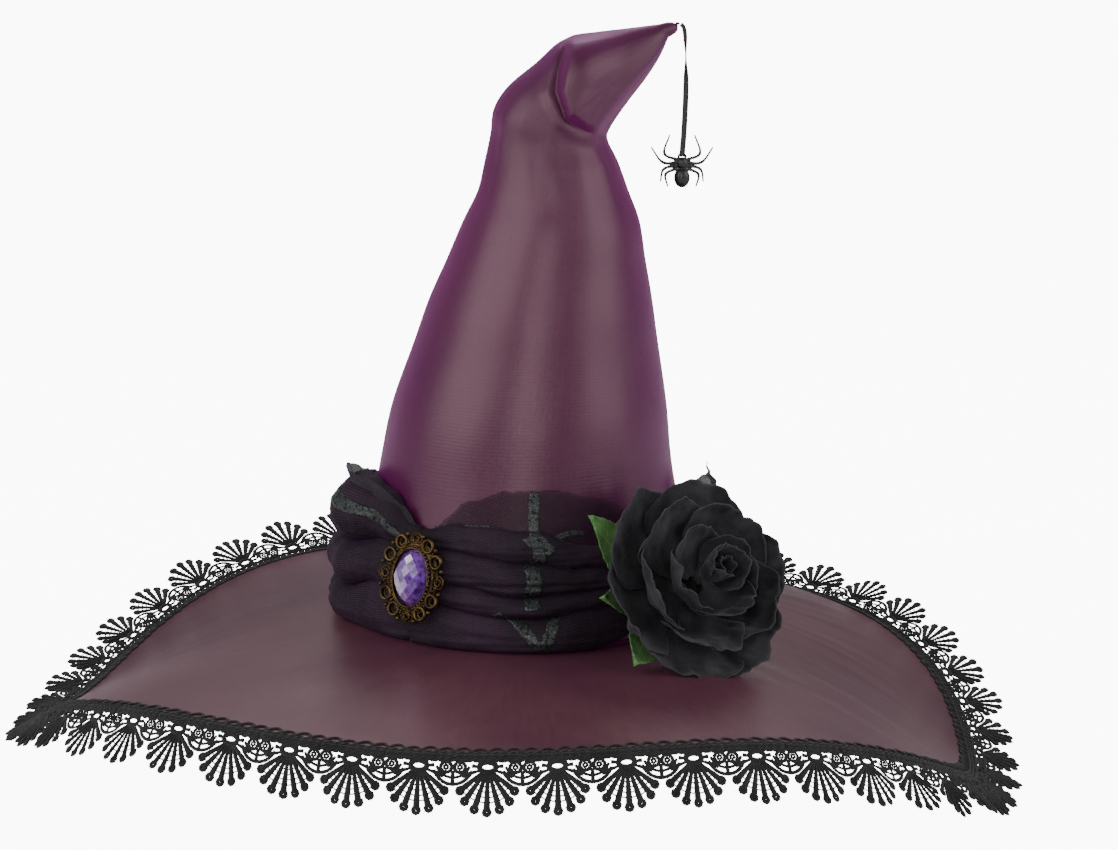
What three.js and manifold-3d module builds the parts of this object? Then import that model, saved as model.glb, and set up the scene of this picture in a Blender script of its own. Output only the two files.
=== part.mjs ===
// A wide-brimmed witch hat with a folded-over tip, a lace edge, a tulle sash,
// a brooch, a fabric rose and a toy spider on a ribbon.
// Millimetres. +Z up through the crown, -Y to the front, +X to the wearer's left.
// The origin is the centre of the head opening, on the brim's upper face.
import * as THREE from "three";
import loadManifold from "manifold-3d";

// ---- cloth layers -----------------------------------------------------------
const layerGap = 0.3; // air between two pieces that touch
const satinThick = 0.8;
const liningThick = 0.8;
const foamThick = 2.0;
const buckramThick = 1.1;
const buckramEase = 0.1; // more air over the buckram, whose faces split the other way
const laceThick = 0.8;

// ---- head opening and crown -------------------------------------------------
const headOpeningRadius = 89.5;
const sweatbandThick = 0.8;
const sweatbandHeight = 26;
const liningInset = satinThick + layerGap + foamThick + layerGap;
const sweatbandInset = liningInset + liningThick + layerGap;
const crownBaseRadius = headOpeningRadius + sweatbandThick + sweatbandInset;
const crownHeight = 314;
const crownSegments = 28;

// The crown hangs between two edge lines, seen from the front. Each station holds
// a point of the left edge and one of the right edge, [x, z, x, z], with x as a
// share of the base radius and z as a share of the height.
const crownStations = [
  [-1.0, 0.0, 1.0, 0.0],
  [-0.826, 0.235, 0.824, 0.235],
  [-0.738, 0.358, 0.782, 0.358],
  [-0.618, 0.461, 0.73, 0.461],
  [-0.538, 0.531, 0.7, 0.531],
  [-0.436, 0.6, 0.661, 0.6],
  [-0.34, 0.668, 0.626, 0.668],
  [-0.261, 0.718, 0.564, 0.718],
  [-0.217, 0.769, 0.498, 0.769],
  [-0.185, 0.815, 0.448, 0.8],
  [-0.165, 0.855, 0.442, 0.812],
  [-0.09, 0.892, 0.46, 0.826],
  [0.06, 0.932, 0.5, 0.845],
  [0.21, 0.971, 0.565, 0.872],
  [0.4, 0.984, 0.66, 0.909],
  [0.59, 0.992, 0.735, 0.944],
  [0.74, 0.998, 0.785, 0.976],
];
const tipEndShare = [0.815, 1.0];
const creaseStation = 10; // the crown's cloth ends here and folds over
const tipStation = 12; // the tip's own cloth starts here
const tipFoamEndStation = 15;
// A bag's thickness at its closed end, and how far it stops short, in stations.
const foamEndThick = 0.4;
const foamShort = 0.15;
const liningEndThick = 0.2;
const liningShort = 1;
const tipEndThick = 0.3;

// ---- brim -------------------------------------------------------------------
const brimWidth = 166; // along the cloth, from the crown to the rim
const seatWidth = 2.8; // brim cloth under the crown's wall
const brimSegments = 50;
const wireRadius = 0.6;
const wireFromRim = 2.2;
const coreFromRim = 4.2;
// How far the rim hangs below the head opening, and how that changes round it.
const rimDrop = 37.5;
const rimDropRight = 12; // more to the right, less to the left
const rimDropBack = 20; // more behind, less in front
const rimDropSides = 24; // both sides fold down
const rimDropSkew = -3; // the fold runs a little off the side
const rimDropCorners = 8; // the rim's four waves
const rimDropCornerSkew = -6;
const slopeAtCrown = 0.45; // share of the drop that a straight slope gives

// ---- lace -------------------------------------------------------------------
const laceOverlap = 6; // header sewn on top of the satin
const laceEase = 0.9; // air under the header
const laceWidth = 32; // from the rim to the fans' tips
const laceTurn = 1.2; // where the lace passes round the rim
const fanCount = 50;
const stepsPerFan = 2;
const fanDepth = 0.3; // share of the width that the gaps between fans cut back
const laceAngle = -19; // degrees above the level, all round
const laceAngleBack = 53; // more behind, less in front

// ---- sash -------------------------------------------------------------------
const sashThick = 5;
const sashEase = 1; // air behind the gathers
const sashLow = 2; // bottom edge above the opening's plane
const sashFrontAngles = [237, 306];
const sashFrontTops = [56, 79, 66]; // top edge at its start, middle and end
const sashBackAngles = [-42, 229];
const sashBackTops = [52, 58, 70];
const sashPuff = 13; // how far the left side's roll stands off the crown
const sashPuffAngle = 188;
const sashPuffSpread = 42;
const tailThick = 3;
const tailAngles = [-8, 13]; // the loose end stands behind the rose
const tailHeights = [48, 62];
const tailLift = 4; // its far end is higher
const tailStandOffs = [8.5, 23]; // its near and far ends, off the crown

// ---- brooch -----------------------------------------------------------------
const broochAngle = 233;
const broochHeight = 35;
const broochTilt = 12;
const broochWidth = 43;
const broochTall = 49;
const broochThick = 3;
const broochPlateThick = 1;
const broochPlateShare = 0.7; // the plate ends inside the loops
const loopCount = 12;
const loopHoleRadius = 2.7;
const loopRim = 1.5; // metal outside each loop's hole
const gemWidth = 22;
const gemTall = 30;
const gemHigh = 7;
const broochStandOff = 3.2; // folds of tulle behind the plate

// ---- rose -------------------------------------------------------------------
const roseAngle = -46.5;
const roseHeight = 27;
const roseFacing = -55;
const roseTilt = 32;
const roseStandOff = 26; // backing's centre off the crown's wall
const roseBackingRadius = 17;
const roseBackingThick = 2;
const petalThick = 0.9;
const petalWind = 1.5; // how far a petal's edge winds over the next one
const petalSpanShare = 0.72; // half of a petal's span, as a share of its pitch
const petalNarrow = 0.75; // a petal's width at its base and edge, as a share of its middle
const petalRound = 0.12; // how far a petal's corners fall short of its edge
// Each ring's petals follow an arch from the base to the edge: [radius, height].
const petalRings = [
  { name: "outer", count: 6, turn: 8, arch: [[10, 4.4], [46, 5], [51, 33]] },
  { name: "middle", count: 5, turn: 40, arch: [[7, 10.5], [35, 13], [35, 43]] },
  { name: "inner", count: 4, turn: 15, arch: [[5, 17], [21, 20], [19, 49]] },
];
const budRadius = 8;
const budFrom = 24;
const budTo = 54;
const leafThick = 1;
const leafRoot = roseBackingRadius + 2;
const leafRise = 18; // how far a leaf's end curls up behind the petals
const leaves = [
  { name: "upper", turn: 138, reach: 68, width: 26 },
  { name: "middle", turn: 178, reach: 60, width: 16 },
  { name: "lower", turn: 214, reach: 64, width: 22 },
];

// ---- ribbon and spider ------------------------------------------------------
const ribbonWidth = 3;
const ribbonThick = 0.7;
const ribbonSteps = 24;
const ribbonRoute = [
  [80.9, 0, 313.4],
  [82.0, 0, 312.3],
  [82.8, 0, 310.2],
  [83.2, 0, 306.8],
  [83.4, 0, 302.2],
  [83.6, 0, 297.2],
  [83.7, 0, 291.8],
  [83.8, 0, 286.2],
  [83.8, 0, 280.6],
  [83.7, 0, 275.0],
  [83.5, 0, 269.4],
  [83.3, 0, 263.8],
  [83.0, 0, 258.4],
  [82.7, 0, 253.0],
  [82.3, 0, 248.0],
  [82.0, 0, 243.4],
];
const tackRing = 1.1;
const tackThread = 0.35;
const spiderHead = [3, 2.2, 3.2];
const spiderAbdomen = [4.3, 3.2, 5.4];
const abdomenDrop = 7.6;
const spiderLegRadius = 0.7;
// Leg joints from the head's centre, on one side: [out, up].
const spiderLegs = [
  [[1.5, 1.6], [9.3, 5.2], [6.5, 15.2]],
  [[1.5, 0.6], [10, 0.6], [16.3, 8.6]],
  [[1.5, -1.0], [9.7, -3], [11.3, -9.8]],
  [[1.5, -2.4], [8.6, -5.6], [7.4, -12.5]],
];

// ---- small things -----------------------------------------------------------
const labelSize = [18, 0.5, 11];
const labelFromBottom = 8;

// ---- colours ----------------------------------------------------------------
const colours = {
  satin: [0x6b3f5c, 0.45, 0],
  lining: [0x1d181c, 0.8, 0],
  foam: [0x3a3439, 0.95, 0],
  lace: [0x2a282a, 0.85, 0],
  tulle: [0x2c212a, 0.75, 0],
  bronze: [0x7a5a30, 0.35, 1],
  gem: [0x8a6cc0, 0.05, 0],
  petal: [0x232226, 0.85, 0],
  leaf: [0x4f8042, 0.7, 0],
  ribbon: [0x17161a, 0.4, 0],
  plastic: [0x0e0d0f, 0.35, 0],
  wire: [0x8d8f92, 0.4, 1],
  label: [0xe6e2da, 0.8, 0],
};

const hat = new THREE.Group();
const degrees = THREE.MathUtils.degToRad;

// ---- helpers ----------------------------------------------------------------

// Adds a named piece to the hat.
function add(name, geometry, colour) {
  const [color, roughness, metalness] = colours[colour];
  const material = new THREE.MeshStandardMaterial({ color, roughness, metalness });
  const mesh = new THREE.Mesh(faceOut(geometry), material);
  mesh.name = name;
  hat.add(mesh);
  return mesh;
}

// The volume inside a closed geometry, negative when its faces point inwards.
function signedVolume(geometry) {
  const { index, attributes } = geometry;
  const corner = (k) => new THREE.Vector3().fromBufferAttribute(attributes.position, k);
  let sum = 0;
  for (let k = 0; k < index.count; k += 3) {
    const [a, b, c] = [0, 1, 2].map((n) => corner(index.getX(k + n)));
    sum += a.dot(b.cross(c));
  }
  return sum / 6;
}

// Turns a geometry's faces outwards, and gives it an index if it has none.
function faceOut(geometry) {
  if (!geometry.index) {
    const all = Array.from({ length: geometry.attributes.position.count }, (_, k) => k);
    geometry.setIndex(all);
  }
  if (signedVolume(geometry) < 0) {
    geometry.setIndex(Array.from(geometry.index.array).reverse());
  }
  return geometry;
}

// A closed ring: a lathe of the section [[across, up], ...], whose points are then
// placed in space by place(angle, across, up).
function placedRing(section, segments, place) {
  const closed = [...section, section[0]];
  const points = closed.map(([across, up]) => new THREE.Vector2(across, up));
  return placeLathe(new THREE.LatheGeometry(points, segments), closed, segments, place);
}

// A closed cap: the same, for a section that starts and ends on the axis.
function placedCap(section, segments, place) {
  const points = section.map(([across, up]) => new THREE.Vector2(across, up));
  return placeLathe(new THREE.LatheGeometry(points, segments), section, segments, place);
}

function placeLathe(geometry, section, segments, place) {
  const position = geometry.attributes.position;
  for (let turn = 0; turn <= segments; turn++) {
    const angle = (2 * Math.PI * (turn % segments)) / segments;
    section.forEach(([across, up], k) => {
      position.setXYZ(turn * section.length + k, ...place(angle, across, up));
    });
  }
  return geometry;
}

// A closed plate: a box whose points, as shares 0 to 1 of its length, width and
// thickness, are placed in space by place(u, v, w).
function placedPlate(lengthSteps, widthSteps, place) {
  const geometry = new THREE.BoxGeometry(1, 1, 1, lengthSteps, widthSteps, 1);
  const position = geometry.attributes.position;
  for (let k = 0; k < position.count; k++) {
    const shares = [position.getX(k), position.getY(k), position.getZ(k)];
    position.setXYZ(k, ...place(...shares.map((share) => share + 0.5)));
  }
  return geometry;
}

// A section that follows a top line out and comes back along the line below it.
function layer(stops, top, thickness) {
  const out = stops.map((stop) => [stop, top]);
  const back = [...stops].reverse().map((stop) => [stop, top - thickness]);
  return [...out, ...back];
}

const spread = (from, to, steps) =>
  Array.from({ length: steps + 1 }, (_, k) => from + ((to - from) * k) / steps);

const mix = ([from, to], share) => from + (to - from) * share;

// A smooth value along three stops: the start, the middle and the end.
function along([start, middle, end], share) {
  const near = (1 - share) * (1 - 2 * share);
  return start * near + middle * 4 * share * (1 - share) + end * share * (2 * share - 1);
}

// ---- crown ------------------------------------------------------------------
const edgeCurve = (column) =>
  new THREE.CatmullRomCurve3(
    crownStations.map((station) => {
      const [x, z] = station.slice(column, column + 2);
      return new THREE.Vector3(x * crownBaseRadius, 0, z * crownHeight);
    })
  );
const leftEdge = edgeCurve(0);
const rightEdge = edgeCurve(2);
const lastStation = crownStations.length - 1;
const tipEnd = [tipEndShare[0] * crownBaseRadius, 0, tipEndShare[1] * crownHeight];

// A point of the crown's wall. The station runs up the crown, and inset goes in
// from the satin's outer face. Angle 0 is the right edge and 180 the left one.
function crownPoint(angle, station, inset) {
  const left = leftEdge.getPoint(station / lastStation);
  const right = rightEdge.getPoint(station / lastStation);
  const middle = left.clone().add(right).multiplyScalar(0.5);
  const half = right.clone().sub(left).multiplyScalar(0.5);
  const radius = half.length();
  const reach = radius - inset;
  half.multiplyScalar((reach / radius) * Math.cos(angle));
  return [middle.x + half.x, reach * Math.sin(angle), middle.z + half.z];
}

// The height of a station on the straight lower crown, where edges stay level.
const stationAt = (height) => {
  const firstHeight = crownStations[1][1] * crownHeight;
  return height / firstHeight;
};

// The stations that every layer of the crown passes through, so that layers stay
// parallel. The lowest stretch is long, so it has stops of its own.
function crownStops(from, to) {
  const shared = [0.5, ...spread(1, lastStation, lastStation - 1)];
  return [from, ...shared.filter((stop) => stop > from && stop < to), to];
}

// The middle of a station, or the very end of the tip above the last one.
function crownMiddle(station) {
  if (station > lastStation) {
    return tipEnd;
  }
  const [left, right] = [Math.PI, 0].map((angle) => crownPoint(angle, station, 0));
  return [(left[0] + right[0]) / 2, 0, (left[2] + right[2]) / 2];
}

// A bag inside the crown, between two stations, closed at its upper end. Its
// section holds [inset, station], and the inset onAxis means the middle.
const onAxis = -1;
function crownBag({ from, to, inset, thickness, apex, innerApex }) {
  const stops = crownStops(from, to);
  const section = [
    [onAxis, apex],
    ...[...stops].reverse().map((station) => [inset, station]),
    ...stops.slice(0, -1).map((station) => [inset + thickness, station]),
    [onAxis, innerApex],
  ];
  return placedCap(section, crownSegments, (angle, depth, station) =>
    depth === onAxis ? crownMiddle(station) : crownPoint(angle, station, depth)
  );
}

function buildCrown() {
  const stops = crownStops(0, creaseStation);
  const placeOnCrown = (angle, station, up) => crownPoint(angle, station, -up);
  const cover = placedRing(layer(stops, 0, satinThick), crownSegments, placeOnCrown);
  add("crown_cover", cover, "satin");

  // The foam folds shut at the crease, so its upper end is closed.
  const foamTop = creaseStation - foamShort;
  const foam = crownBag({
    from: 0,
    to: foamTop,
    inset: satinThick + layerGap,
    thickness: foamThick,
    apex: foamTop,
    innerApex: foamTop - foamEndThick,
  });
  add("crown_foam", foam, "foam");

  const liningTop = foamTop - liningShort;
  const lining = crownBag({
    from: 0,
    to: liningTop,
    inset: liningInset,
    thickness: liningThick,
    apex: liningTop,
    innerApex: liningTop - liningEndThick,
  });
  add("crown_lining", lining, "lining");
}

// ---- tip --------------------------------------------------------------------
function buildTip() {
  const cover = crownBag({
    from: tipStation,
    to: lastStation,
    inset: 0,
    thickness: satinThick,
    apex: lastStation + 1,
    innerApex: lastStation - tipEndThick,
  });
  add("tip_cover", cover, "satin");

  const foam = crownBag({
    from: tipStation,
    to: tipFoamEndStation,
    inset: satinThick + layerGap,
    thickness: foamThick,
    apex: tipFoamEndStation,
    innerApex: tipFoamEndStation - foamEndThick,
  });
  add("tip_foam", foam, "foam");
}

// ---- brim -------------------------------------------------------------------

// How far the rim hangs below the opening at an angle round the hat.
function rimDropAt(angle) {
  return (
    rimDrop +
    rimDropRight * Math.cos(angle) +
    rimDropBack * Math.sin(angle) +
    rimDropSides * Math.cos(2 * angle) +
    rimDropSkew * Math.sin(2 * angle) +
    rimDropCorners * Math.cos(4 * angle) +
    rimDropCornerSkew * Math.sin(4 * angle)
  );
}

// A point of the brim, with the radius its cloth would have if it lay flat, and
// the height over the satin's face. Also gives the cloth's slope there.
function brimFrame(angle, flatRadius) {
  const reach = Math.max(0, flatRadius - crownBaseRadius);
  const share = reach / brimWidth;
  const curve = 1 - slopeAtCrown;
  const drop = rimDropAt(angle) * share * (slopeAtCrown + curve * share);
  const fall = (rimDropAt(angle) * (slopeAtCrown + 2 * curve * share)) / brimWidth;
  const sine = reach > 0 ? fall : 0;
  const radius =
    reach > 0 ? crownBaseRadius + Math.sqrt(reach * reach - drop * drop) : flatRadius;
  return { radius, height: -drop, sine, cosine: Math.sqrt(1 - sine * sine) };
}

function brimPoint(angle, flatRadius, lift) {
  const { radius, height, sine, cosine } = brimFrame(angle, flatRadius);
  return around(angle, radius + lift * sine, height + lift * cosine);
}

const around = (angle, radius, height) =>
  [radius * Math.cos(angle), radius * Math.sin(angle), height];

const rimRadius = crownBaseRadius + brimWidth;
const brimInner = crownBaseRadius - seatWidth;
const brimTop = -layerGap;
const buckramTop = brimTop - satinThick - layerGap - buckramEase;
const brimUnderTop = buckramTop - buckramThick - layerGap;
const brimBottom = brimUnderTop - satinThick;

// Every layer of the brim passes through the same radii, so that layers stay
// parallel.
const brimShares = [0, 0.25, 0.5, 0.75, 0.9];

function buildBrim() {
  const shared = brimShares.map((share) => crownBaseRadius + share * brimWidth);
  const ring = (outer, top, thickness, order = (section) => section) =>
    placedRing(
      order(layer([brimInner, ...shared, outer], top, thickness)),
      brimSegments,
      brimPoint
    );
  add("brim_top_cover", ring(rimRadius, brimTop, satinThick), "satin");
  // The middle layer's section runs the other way round, so that its faces split
  // along the same lines as the faces they lie against.
  const reversed = (section) => [...section].reverse();
  const buckramOuter = rimRadius - coreFromRim;
  add("brim_buckram", ring(buckramOuter, buckramTop, buckramThick, reversed), "foam");
  add("brim_under_cover", ring(rimRadius, brimUnderTop, satinThick), "satin");

  const wireHeight = buckramTop - buckramThick / 2;
  const wireSection = spread(0, 2 * Math.PI, 4).slice(0, -1).map((turn) => [
    rimRadius - wireFromRim + wireRadius * Math.cos(turn),
    wireHeight + wireRadius * Math.sin(turn),
  ]);
  add("brim_edge_wire", placedRing(wireSection, brimSegments, brimPoint), "wire");
}

// ---- lace -------------------------------------------------------------------

// The lace lies on the rim's satin, then turns to its own angle and fans out.
function lacePoint(angle, reach, lift) {
  if (reach <= 0) {
    return brimPoint(angle, rimRadius + reach, lift);
  }
  const { radius, height, sine, cosine } = brimFrame(angle, rimRadius);
  const rise = degrees(laceAngle + laceAngleBack * Math.sin(angle));
  const fan = Math.abs(Math.cos((fanCount * angle) / 2));
  const length = (reach - laceTurn) * (1 - fanDepth * (1 - fan));
  const turnRadius = radius + laceTurn * cosine + laceEase * sine;
  const turnHeight = height - laceTurn * sine + laceEase * cosine;
  const above = lift - laceEase;
  return around(
    angle,
    turnRadius + length * Math.cos(rise) - above * Math.sin(rise),
    turnHeight + length * Math.sin(rise) + above * Math.cos(rise)
  );
}

function buildLace() {
  const stops = [-laceOverlap, 0, laceTurn, laceWidth / 2, laceWidth];
  const section = layer(stops, laceEase + laceThick, laceThick);
  const segments = fanCount * stepsPerFan;
  add("lace_trim", placedRing(section, segments, lacePoint), "lace");
}

// ---- inside the head opening ------------------------------------------------
function buildSweatband() {
  const place = (angle, inset, height) => {
    const [x, y, z] = crownPoint(angle, stationAt(Math.max(0, height)), inset);
    return height < 0 ? [x, y, height] : [x, y, z];
  };
  const inner = sweatbandInset + sweatbandThick;
  const section = [
    [sweatbandInset, brimBottom],
    [sweatbandInset, 0],
    [sweatbandInset, sweatbandHeight],
    [inner, sweatbandHeight],
    [inner, 0],
    [inner, brimBottom],
  ];
  add("sweatband", placedRing(section, crownSegments, place), "lining");

  const [width, thick, tall] = labelSize;
  const label = new THREE.BoxGeometry(width, thick, tall);
  const middle = labelFromBottom + tall / 2;
  const topInset = inner + 2 * layerGap;
  const wall = crownPoint(Math.PI / 2, stationAt(labelFromBottom + tall), topInset);
  const sag = width * width / (8 * headOpeningRadius);
  label.translate(0, wall[1] - thick / 2 - sag, middle);
  add("care_label", label, "label");
}

// ---- sash -------------------------------------------------------------------

// A band of gathered tulle on the crown between two angles. Its upper edge runs
// through three heights, and stand gives how far it stands off at an angle.
function sashBand([from, to], tops, steps, stand) {
  return placedPlate(steps, 3, (u, v, w) => {
    const angle = from + (to - from) * u;
    const height = sashLow + (along(tops, u) - sashLow) * v;
    const lift = sashEase + w * (sashThick + stand(angle));
    return crownPoint(degrees(angle), stationAt(height), -lift);
  });
}

function buildSash() {
  add("sash_front", sashBand(sashFrontAngles, sashFrontTops, 12, () => 0), "tulle");
  const puff = (angle) => {
    const off = (angle - sashPuffAngle) / sashPuffSpread;
    return Math.abs(off) < 1 ? sashPuff * (1 - off * off) : 0;
  };
  add("sash_back", sashBand(sashBackAngles, sashBackTops, 32, puff), "tulle");

  const tail = placedPlate(5, 3, (u, v, w) => {
    const angle = mix(tailAngles, u);
    const standOff = mix(tailStandOffs, u) + tailThick * w;
    return crownPoint(degrees(angle), stationAt(mix(tailHeights, v) + tailLift * u), -standOff);
  });
  add("sash_tail", tail, "tulle");
}

// ---- brooch -----------------------------------------------------------------

// Turns a piece that faces +Z, with +Y up, to face out at an azimuth and a tilt.
function faceTo(geometry, azimuth, tilt, centre) {
  geometry.rotateX(degrees(90 - tilt));
  geometry.rotateZ(degrees(azimuth + 90));
  geometry.translate(...centre);
  return geometry;
}

// Points on an oval, whose edge may ripple inwards a number of times.
function ovalPath(width, tall, ripple = 0, ripples = 0, steps = 24) {
  return spread(0, 2 * Math.PI, steps).slice(0, -1).map((turn) => {
    const grow = ripple * Math.abs(Math.cos((ripples * turn) / 2));
    return new THREE.Vector2(
      (width / 2 - ripple + grow) * Math.cos(turn),
      (tall / 2 - ripple + grow) * Math.sin(turn)
    );
  });
}

function buildBrooch() {
  const azimuth = degrees(broochAngle);
  const wall = crownPoint(azimuth, stationAt(broochHeight), -(sashEase + sashThick));
  const plateBack = Math.hypot(wall[0], wall[1]) + broochStandOff;
  const out = (distance) => [
    (plateBack + distance * Math.cos(degrees(broochTilt))) * Math.cos(azimuth),
    (plateBack + distance * Math.cos(degrees(broochTilt))) * Math.sin(azimuth),
    broochHeight + distance * Math.sin(degrees(broochTilt)),
  ];
  const place = (name, geometry, distance, colour) =>
    add(name, faceTo(geometry, broochAngle, broochTilt, out(distance)), colour);
  const solid = (shape, depth) =>
    new THREE.ExtrudeGeometry(shape, { depth, bevelEnabled: false, curveSegments: 8 });

  const plate = new THREE.Shape(
    ovalPath(broochWidth * broochPlateShare, broochTall * broochPlateShare)
  );
  place("brooch_backplate", solid(plate, broochPlateThick), 0, "bronze");

  const outline = ovalPath(broochWidth, broochTall, 1, loopCount, loopCount * 4);
  const setting = new THREE.Shape(outline);
  setting.holes.push(new THREE.Path(ovalPath(gemWidth + 2 * layerGap, gemTall + 2 * layerGap)));
  const ringWidth = broochWidth / 2 - loopRim - loopHoleRadius;
  const ringTall = broochTall / 2 - loopRim - loopHoleRadius;
  for (let k = 0; k < loopCount; k++) {
    const turn = (2 * Math.PI * k) / loopCount;
    const hole = new THREE.Path();
    const [x, y] = [ringWidth * Math.cos(turn), ringTall * Math.sin(turn)];
    hole.absarc(x, y, loopHoleRadius, 0, 2 * Math.PI, false);
    setting.holes.push(hole);
  }
  const settingBack = broochPlateThick + layerGap;
  place("brooch_setting", solid(setting, broochThick), settingBack, "bronze");

  const gemStops = [[0, 0], [1, 0], [1, 0.16], [0.8, 0.55], [0.45, 0.85], [0, 1]];
  const gem = new THREE.LatheGeometry(
    gemStops.map(([x, y]) => new THREE.Vector2(x, y)),
    16
  );
  gem.rotateX(Math.PI / 2);
  gem.scale(gemWidth / 2, gemTall / 2, gemHigh);
  place("brooch_gem", gem, settingBack, "gem");
}

// ---- rose -------------------------------------------------------------------
const roseWall = () => {
  const [x, y] = crownPoint(degrees(roseAngle), stationAt(roseHeight), 0);
  const radius = Math.hypot(x, y) + roseStandOff;
  return around(degrees(roseAngle), radius, roseHeight);
};

// The rose is made facing +Z and then turned out from the crown.
const addToRose = (name, geometry, colour) =>
  add(name, faceTo(geometry, roseFacing, roseTilt, roseWall()), colour);

// A point of an arch from its base to its edge, [radius, height], and its normal.
function archPoint([base, bend, edge], share) {
  const curve = new THREE.QuadraticBezierCurve(
    new THREE.Vector2(...base),
    new THREE.Vector2(...bend),
    new THREE.Vector2(...edge)
  );
  const point = curve.getPoint(share);
  const tangent = curve.getTangent(share);
  return { point, normal: new THREE.Vector2(-tangent.y, tangent.x) };
}

// One petal: a plate on its ring's arch, that winds over the petal beside it.
function petal({ arch, count }, turn) {
  const pitch = 360 / count;
  return placedPlate(4, 4, (u, v, w) => {
    const across = 2 * u - 1;
    const width = petalNarrow + (1 - petalNarrow) * Math.sin(Math.PI * v);
    const angle = degrees(turn + across * pitch * petalSpanShare * width);
    const tuck = 1 - petalRound * across * across * v;
    const { point, normal } = archPoint(arch, v * tuck);
    const lift = petalWind * across + petalThick * w;
    const flat = point.addScaledVector(normal, lift);
    return [flat.x * Math.cos(angle), flat.x * Math.sin(angle), flat.y];
  });
}

function buildRose() {
  const backing = new THREE.CylinderGeometry(
    roseBackingRadius, roseBackingRadius, roseBackingThick, 20
  );
  backing.rotateX(Math.PI / 2);
  backing.translate(0, 0, roseBackingThick / 2);
  addToRose("rose_backing", backing, "petal");

  for (const ring of petalRings) {
    for (let k = 0; k < ring.count; k++) {
      const turn = ring.turn + (360 * k) / ring.count;
      addToRose(`rose_petal_${ring.name}_${k + 1}`, petal(ring, turn), "petal");
    }
  }

  const budStops = [[0, 0], [0.55, 0.1], [0.9, 0.4], [1, 0.7], [0.6, 0.95], [0, 1]];
  const bud = new THREE.LatheGeometry(
    budStops.map(([x, y]) => new THREE.Vector2(x * budRadius, budFrom + y * (budTo - budFrom))),
    14
  );
  bud.rotateX(Math.PI / 2);
  addToRose("rose_bud", bud, "petal");

  for (const { name, turn, reach, width } of leaves) {
    const leaf = placedPlate(6, 2, (u, v, w) => {
      const radius = leafRoot + (reach - leafRoot) * u;
      const side = (v - 0.5) * width * Math.sin(Math.PI * (0.12 + 0.84 * u));
      const height = leafThick * w + leafRise * u * u;
      const [c, s] = [Math.cos(degrees(turn)), Math.sin(degrees(turn))];
      return [radius * c - side * s, radius * s + side * c, height];
    });
    addToRose(`rose_leaf_${name}`, leaf, "leaf");
  }
}

// ---- ribbon and spider ------------------------------------------------------

// A flat-sided tube along a route.
function tube(route, width, thick, sides, steps) {
  const section = new THREE.Shape(ovalPath(width, thick, 0, 0, sides));
  const extrudePath = new THREE.CatmullRomCurve3(
    route.map((point) => new THREE.Vector3(...point))
  );
  return new THREE.ExtrudeGeometry(section, { steps, bevelEnabled: false, extrudePath });
}

function buildRibbon() {
  const start = ribbonRoute[0];
  const tack = new THREE.TorusGeometry(tackRing, tackThread, 6, 12);
  tack.rotateX(Math.PI / 2);
  const tackRoom = tackRing + tackThread + layerGap;
  tack.translate(start[0] - tackRoom, 0, start[2] + layerGap);
  add("ribbon_tack", tack, "ribbon");
  const ribbon = tube(ribbonRoute, ribbonWidth, ribbonThick, 8, ribbonSteps);
  add("spider_ribbon", ribbon, "ribbon");
}

// Joins closed geometries into one solid.
function joined(manifoldTools, geometries) {
  const { Manifold, Mesh } = manifoldTools;
  const solids = geometries.map((geometry) => {
    const { index, attributes } = faceOut(geometry);
    const mesh = new Mesh({
      numProp: 3,
      vertProperties: new Float32Array(attributes.position.array),
      triVerts: new Uint32Array(index.array),
    });
    mesh.merge();
    return new Manifold(mesh);
  });
  const { vertProperties, triVerts } = Manifold.union(solids).getMesh();
  const result = new THREE.BufferGeometry();
  result.setAttribute("position", new THREE.BufferAttribute(vertProperties, 3));
  result.setIndex(new THREE.BufferAttribute(triVerts, 1));
  return result;
}

function buildSpider(manifoldTools) {
  const last = ribbonRoute[ribbonRoute.length - 1];
  const headAt = [last[0], 0, last[2] - layerGap - spiderHead[2]];
  const ball = (size, drop) => {
    const geometry = new THREE.SphereGeometry(1, 10, 7);
    geometry.scale(...size);
    geometry.translate(headAt[0], headAt[1], headAt[2] - drop);
    return geometry;
  };
  const pieces = [ball(spiderHead, 0), ball(spiderAbdomen, abdomenDrop)];
  for (const side of [-1, 1]) {
    for (const joints of spiderLegs) {
      const route = joints.map(([out, up]) => [headAt[0] + side * out, 0, headAt[2] + up]);
      const thick = 2 * spiderLegRadius;
      pieces.push(tube(route, thick, thick, 5, 5));
    }
  }
  add("spider", joined(manifoldTools, pieces), "plastic");
}

const manifoldTools = await loadManifold();
manifoldTools.setup();

buildCrown();
buildTip();
buildBrim();
buildLace();
buildSweatband();
buildSash();
buildBrooch();
buildRose();
buildRibbon();
buildSpider(manifoldTools);

export default hat;
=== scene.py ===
# %% Load the frame
import math

import bmesh
import bpy
import numpy as np
from mathutils import Matrix, Vector, noise


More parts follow.
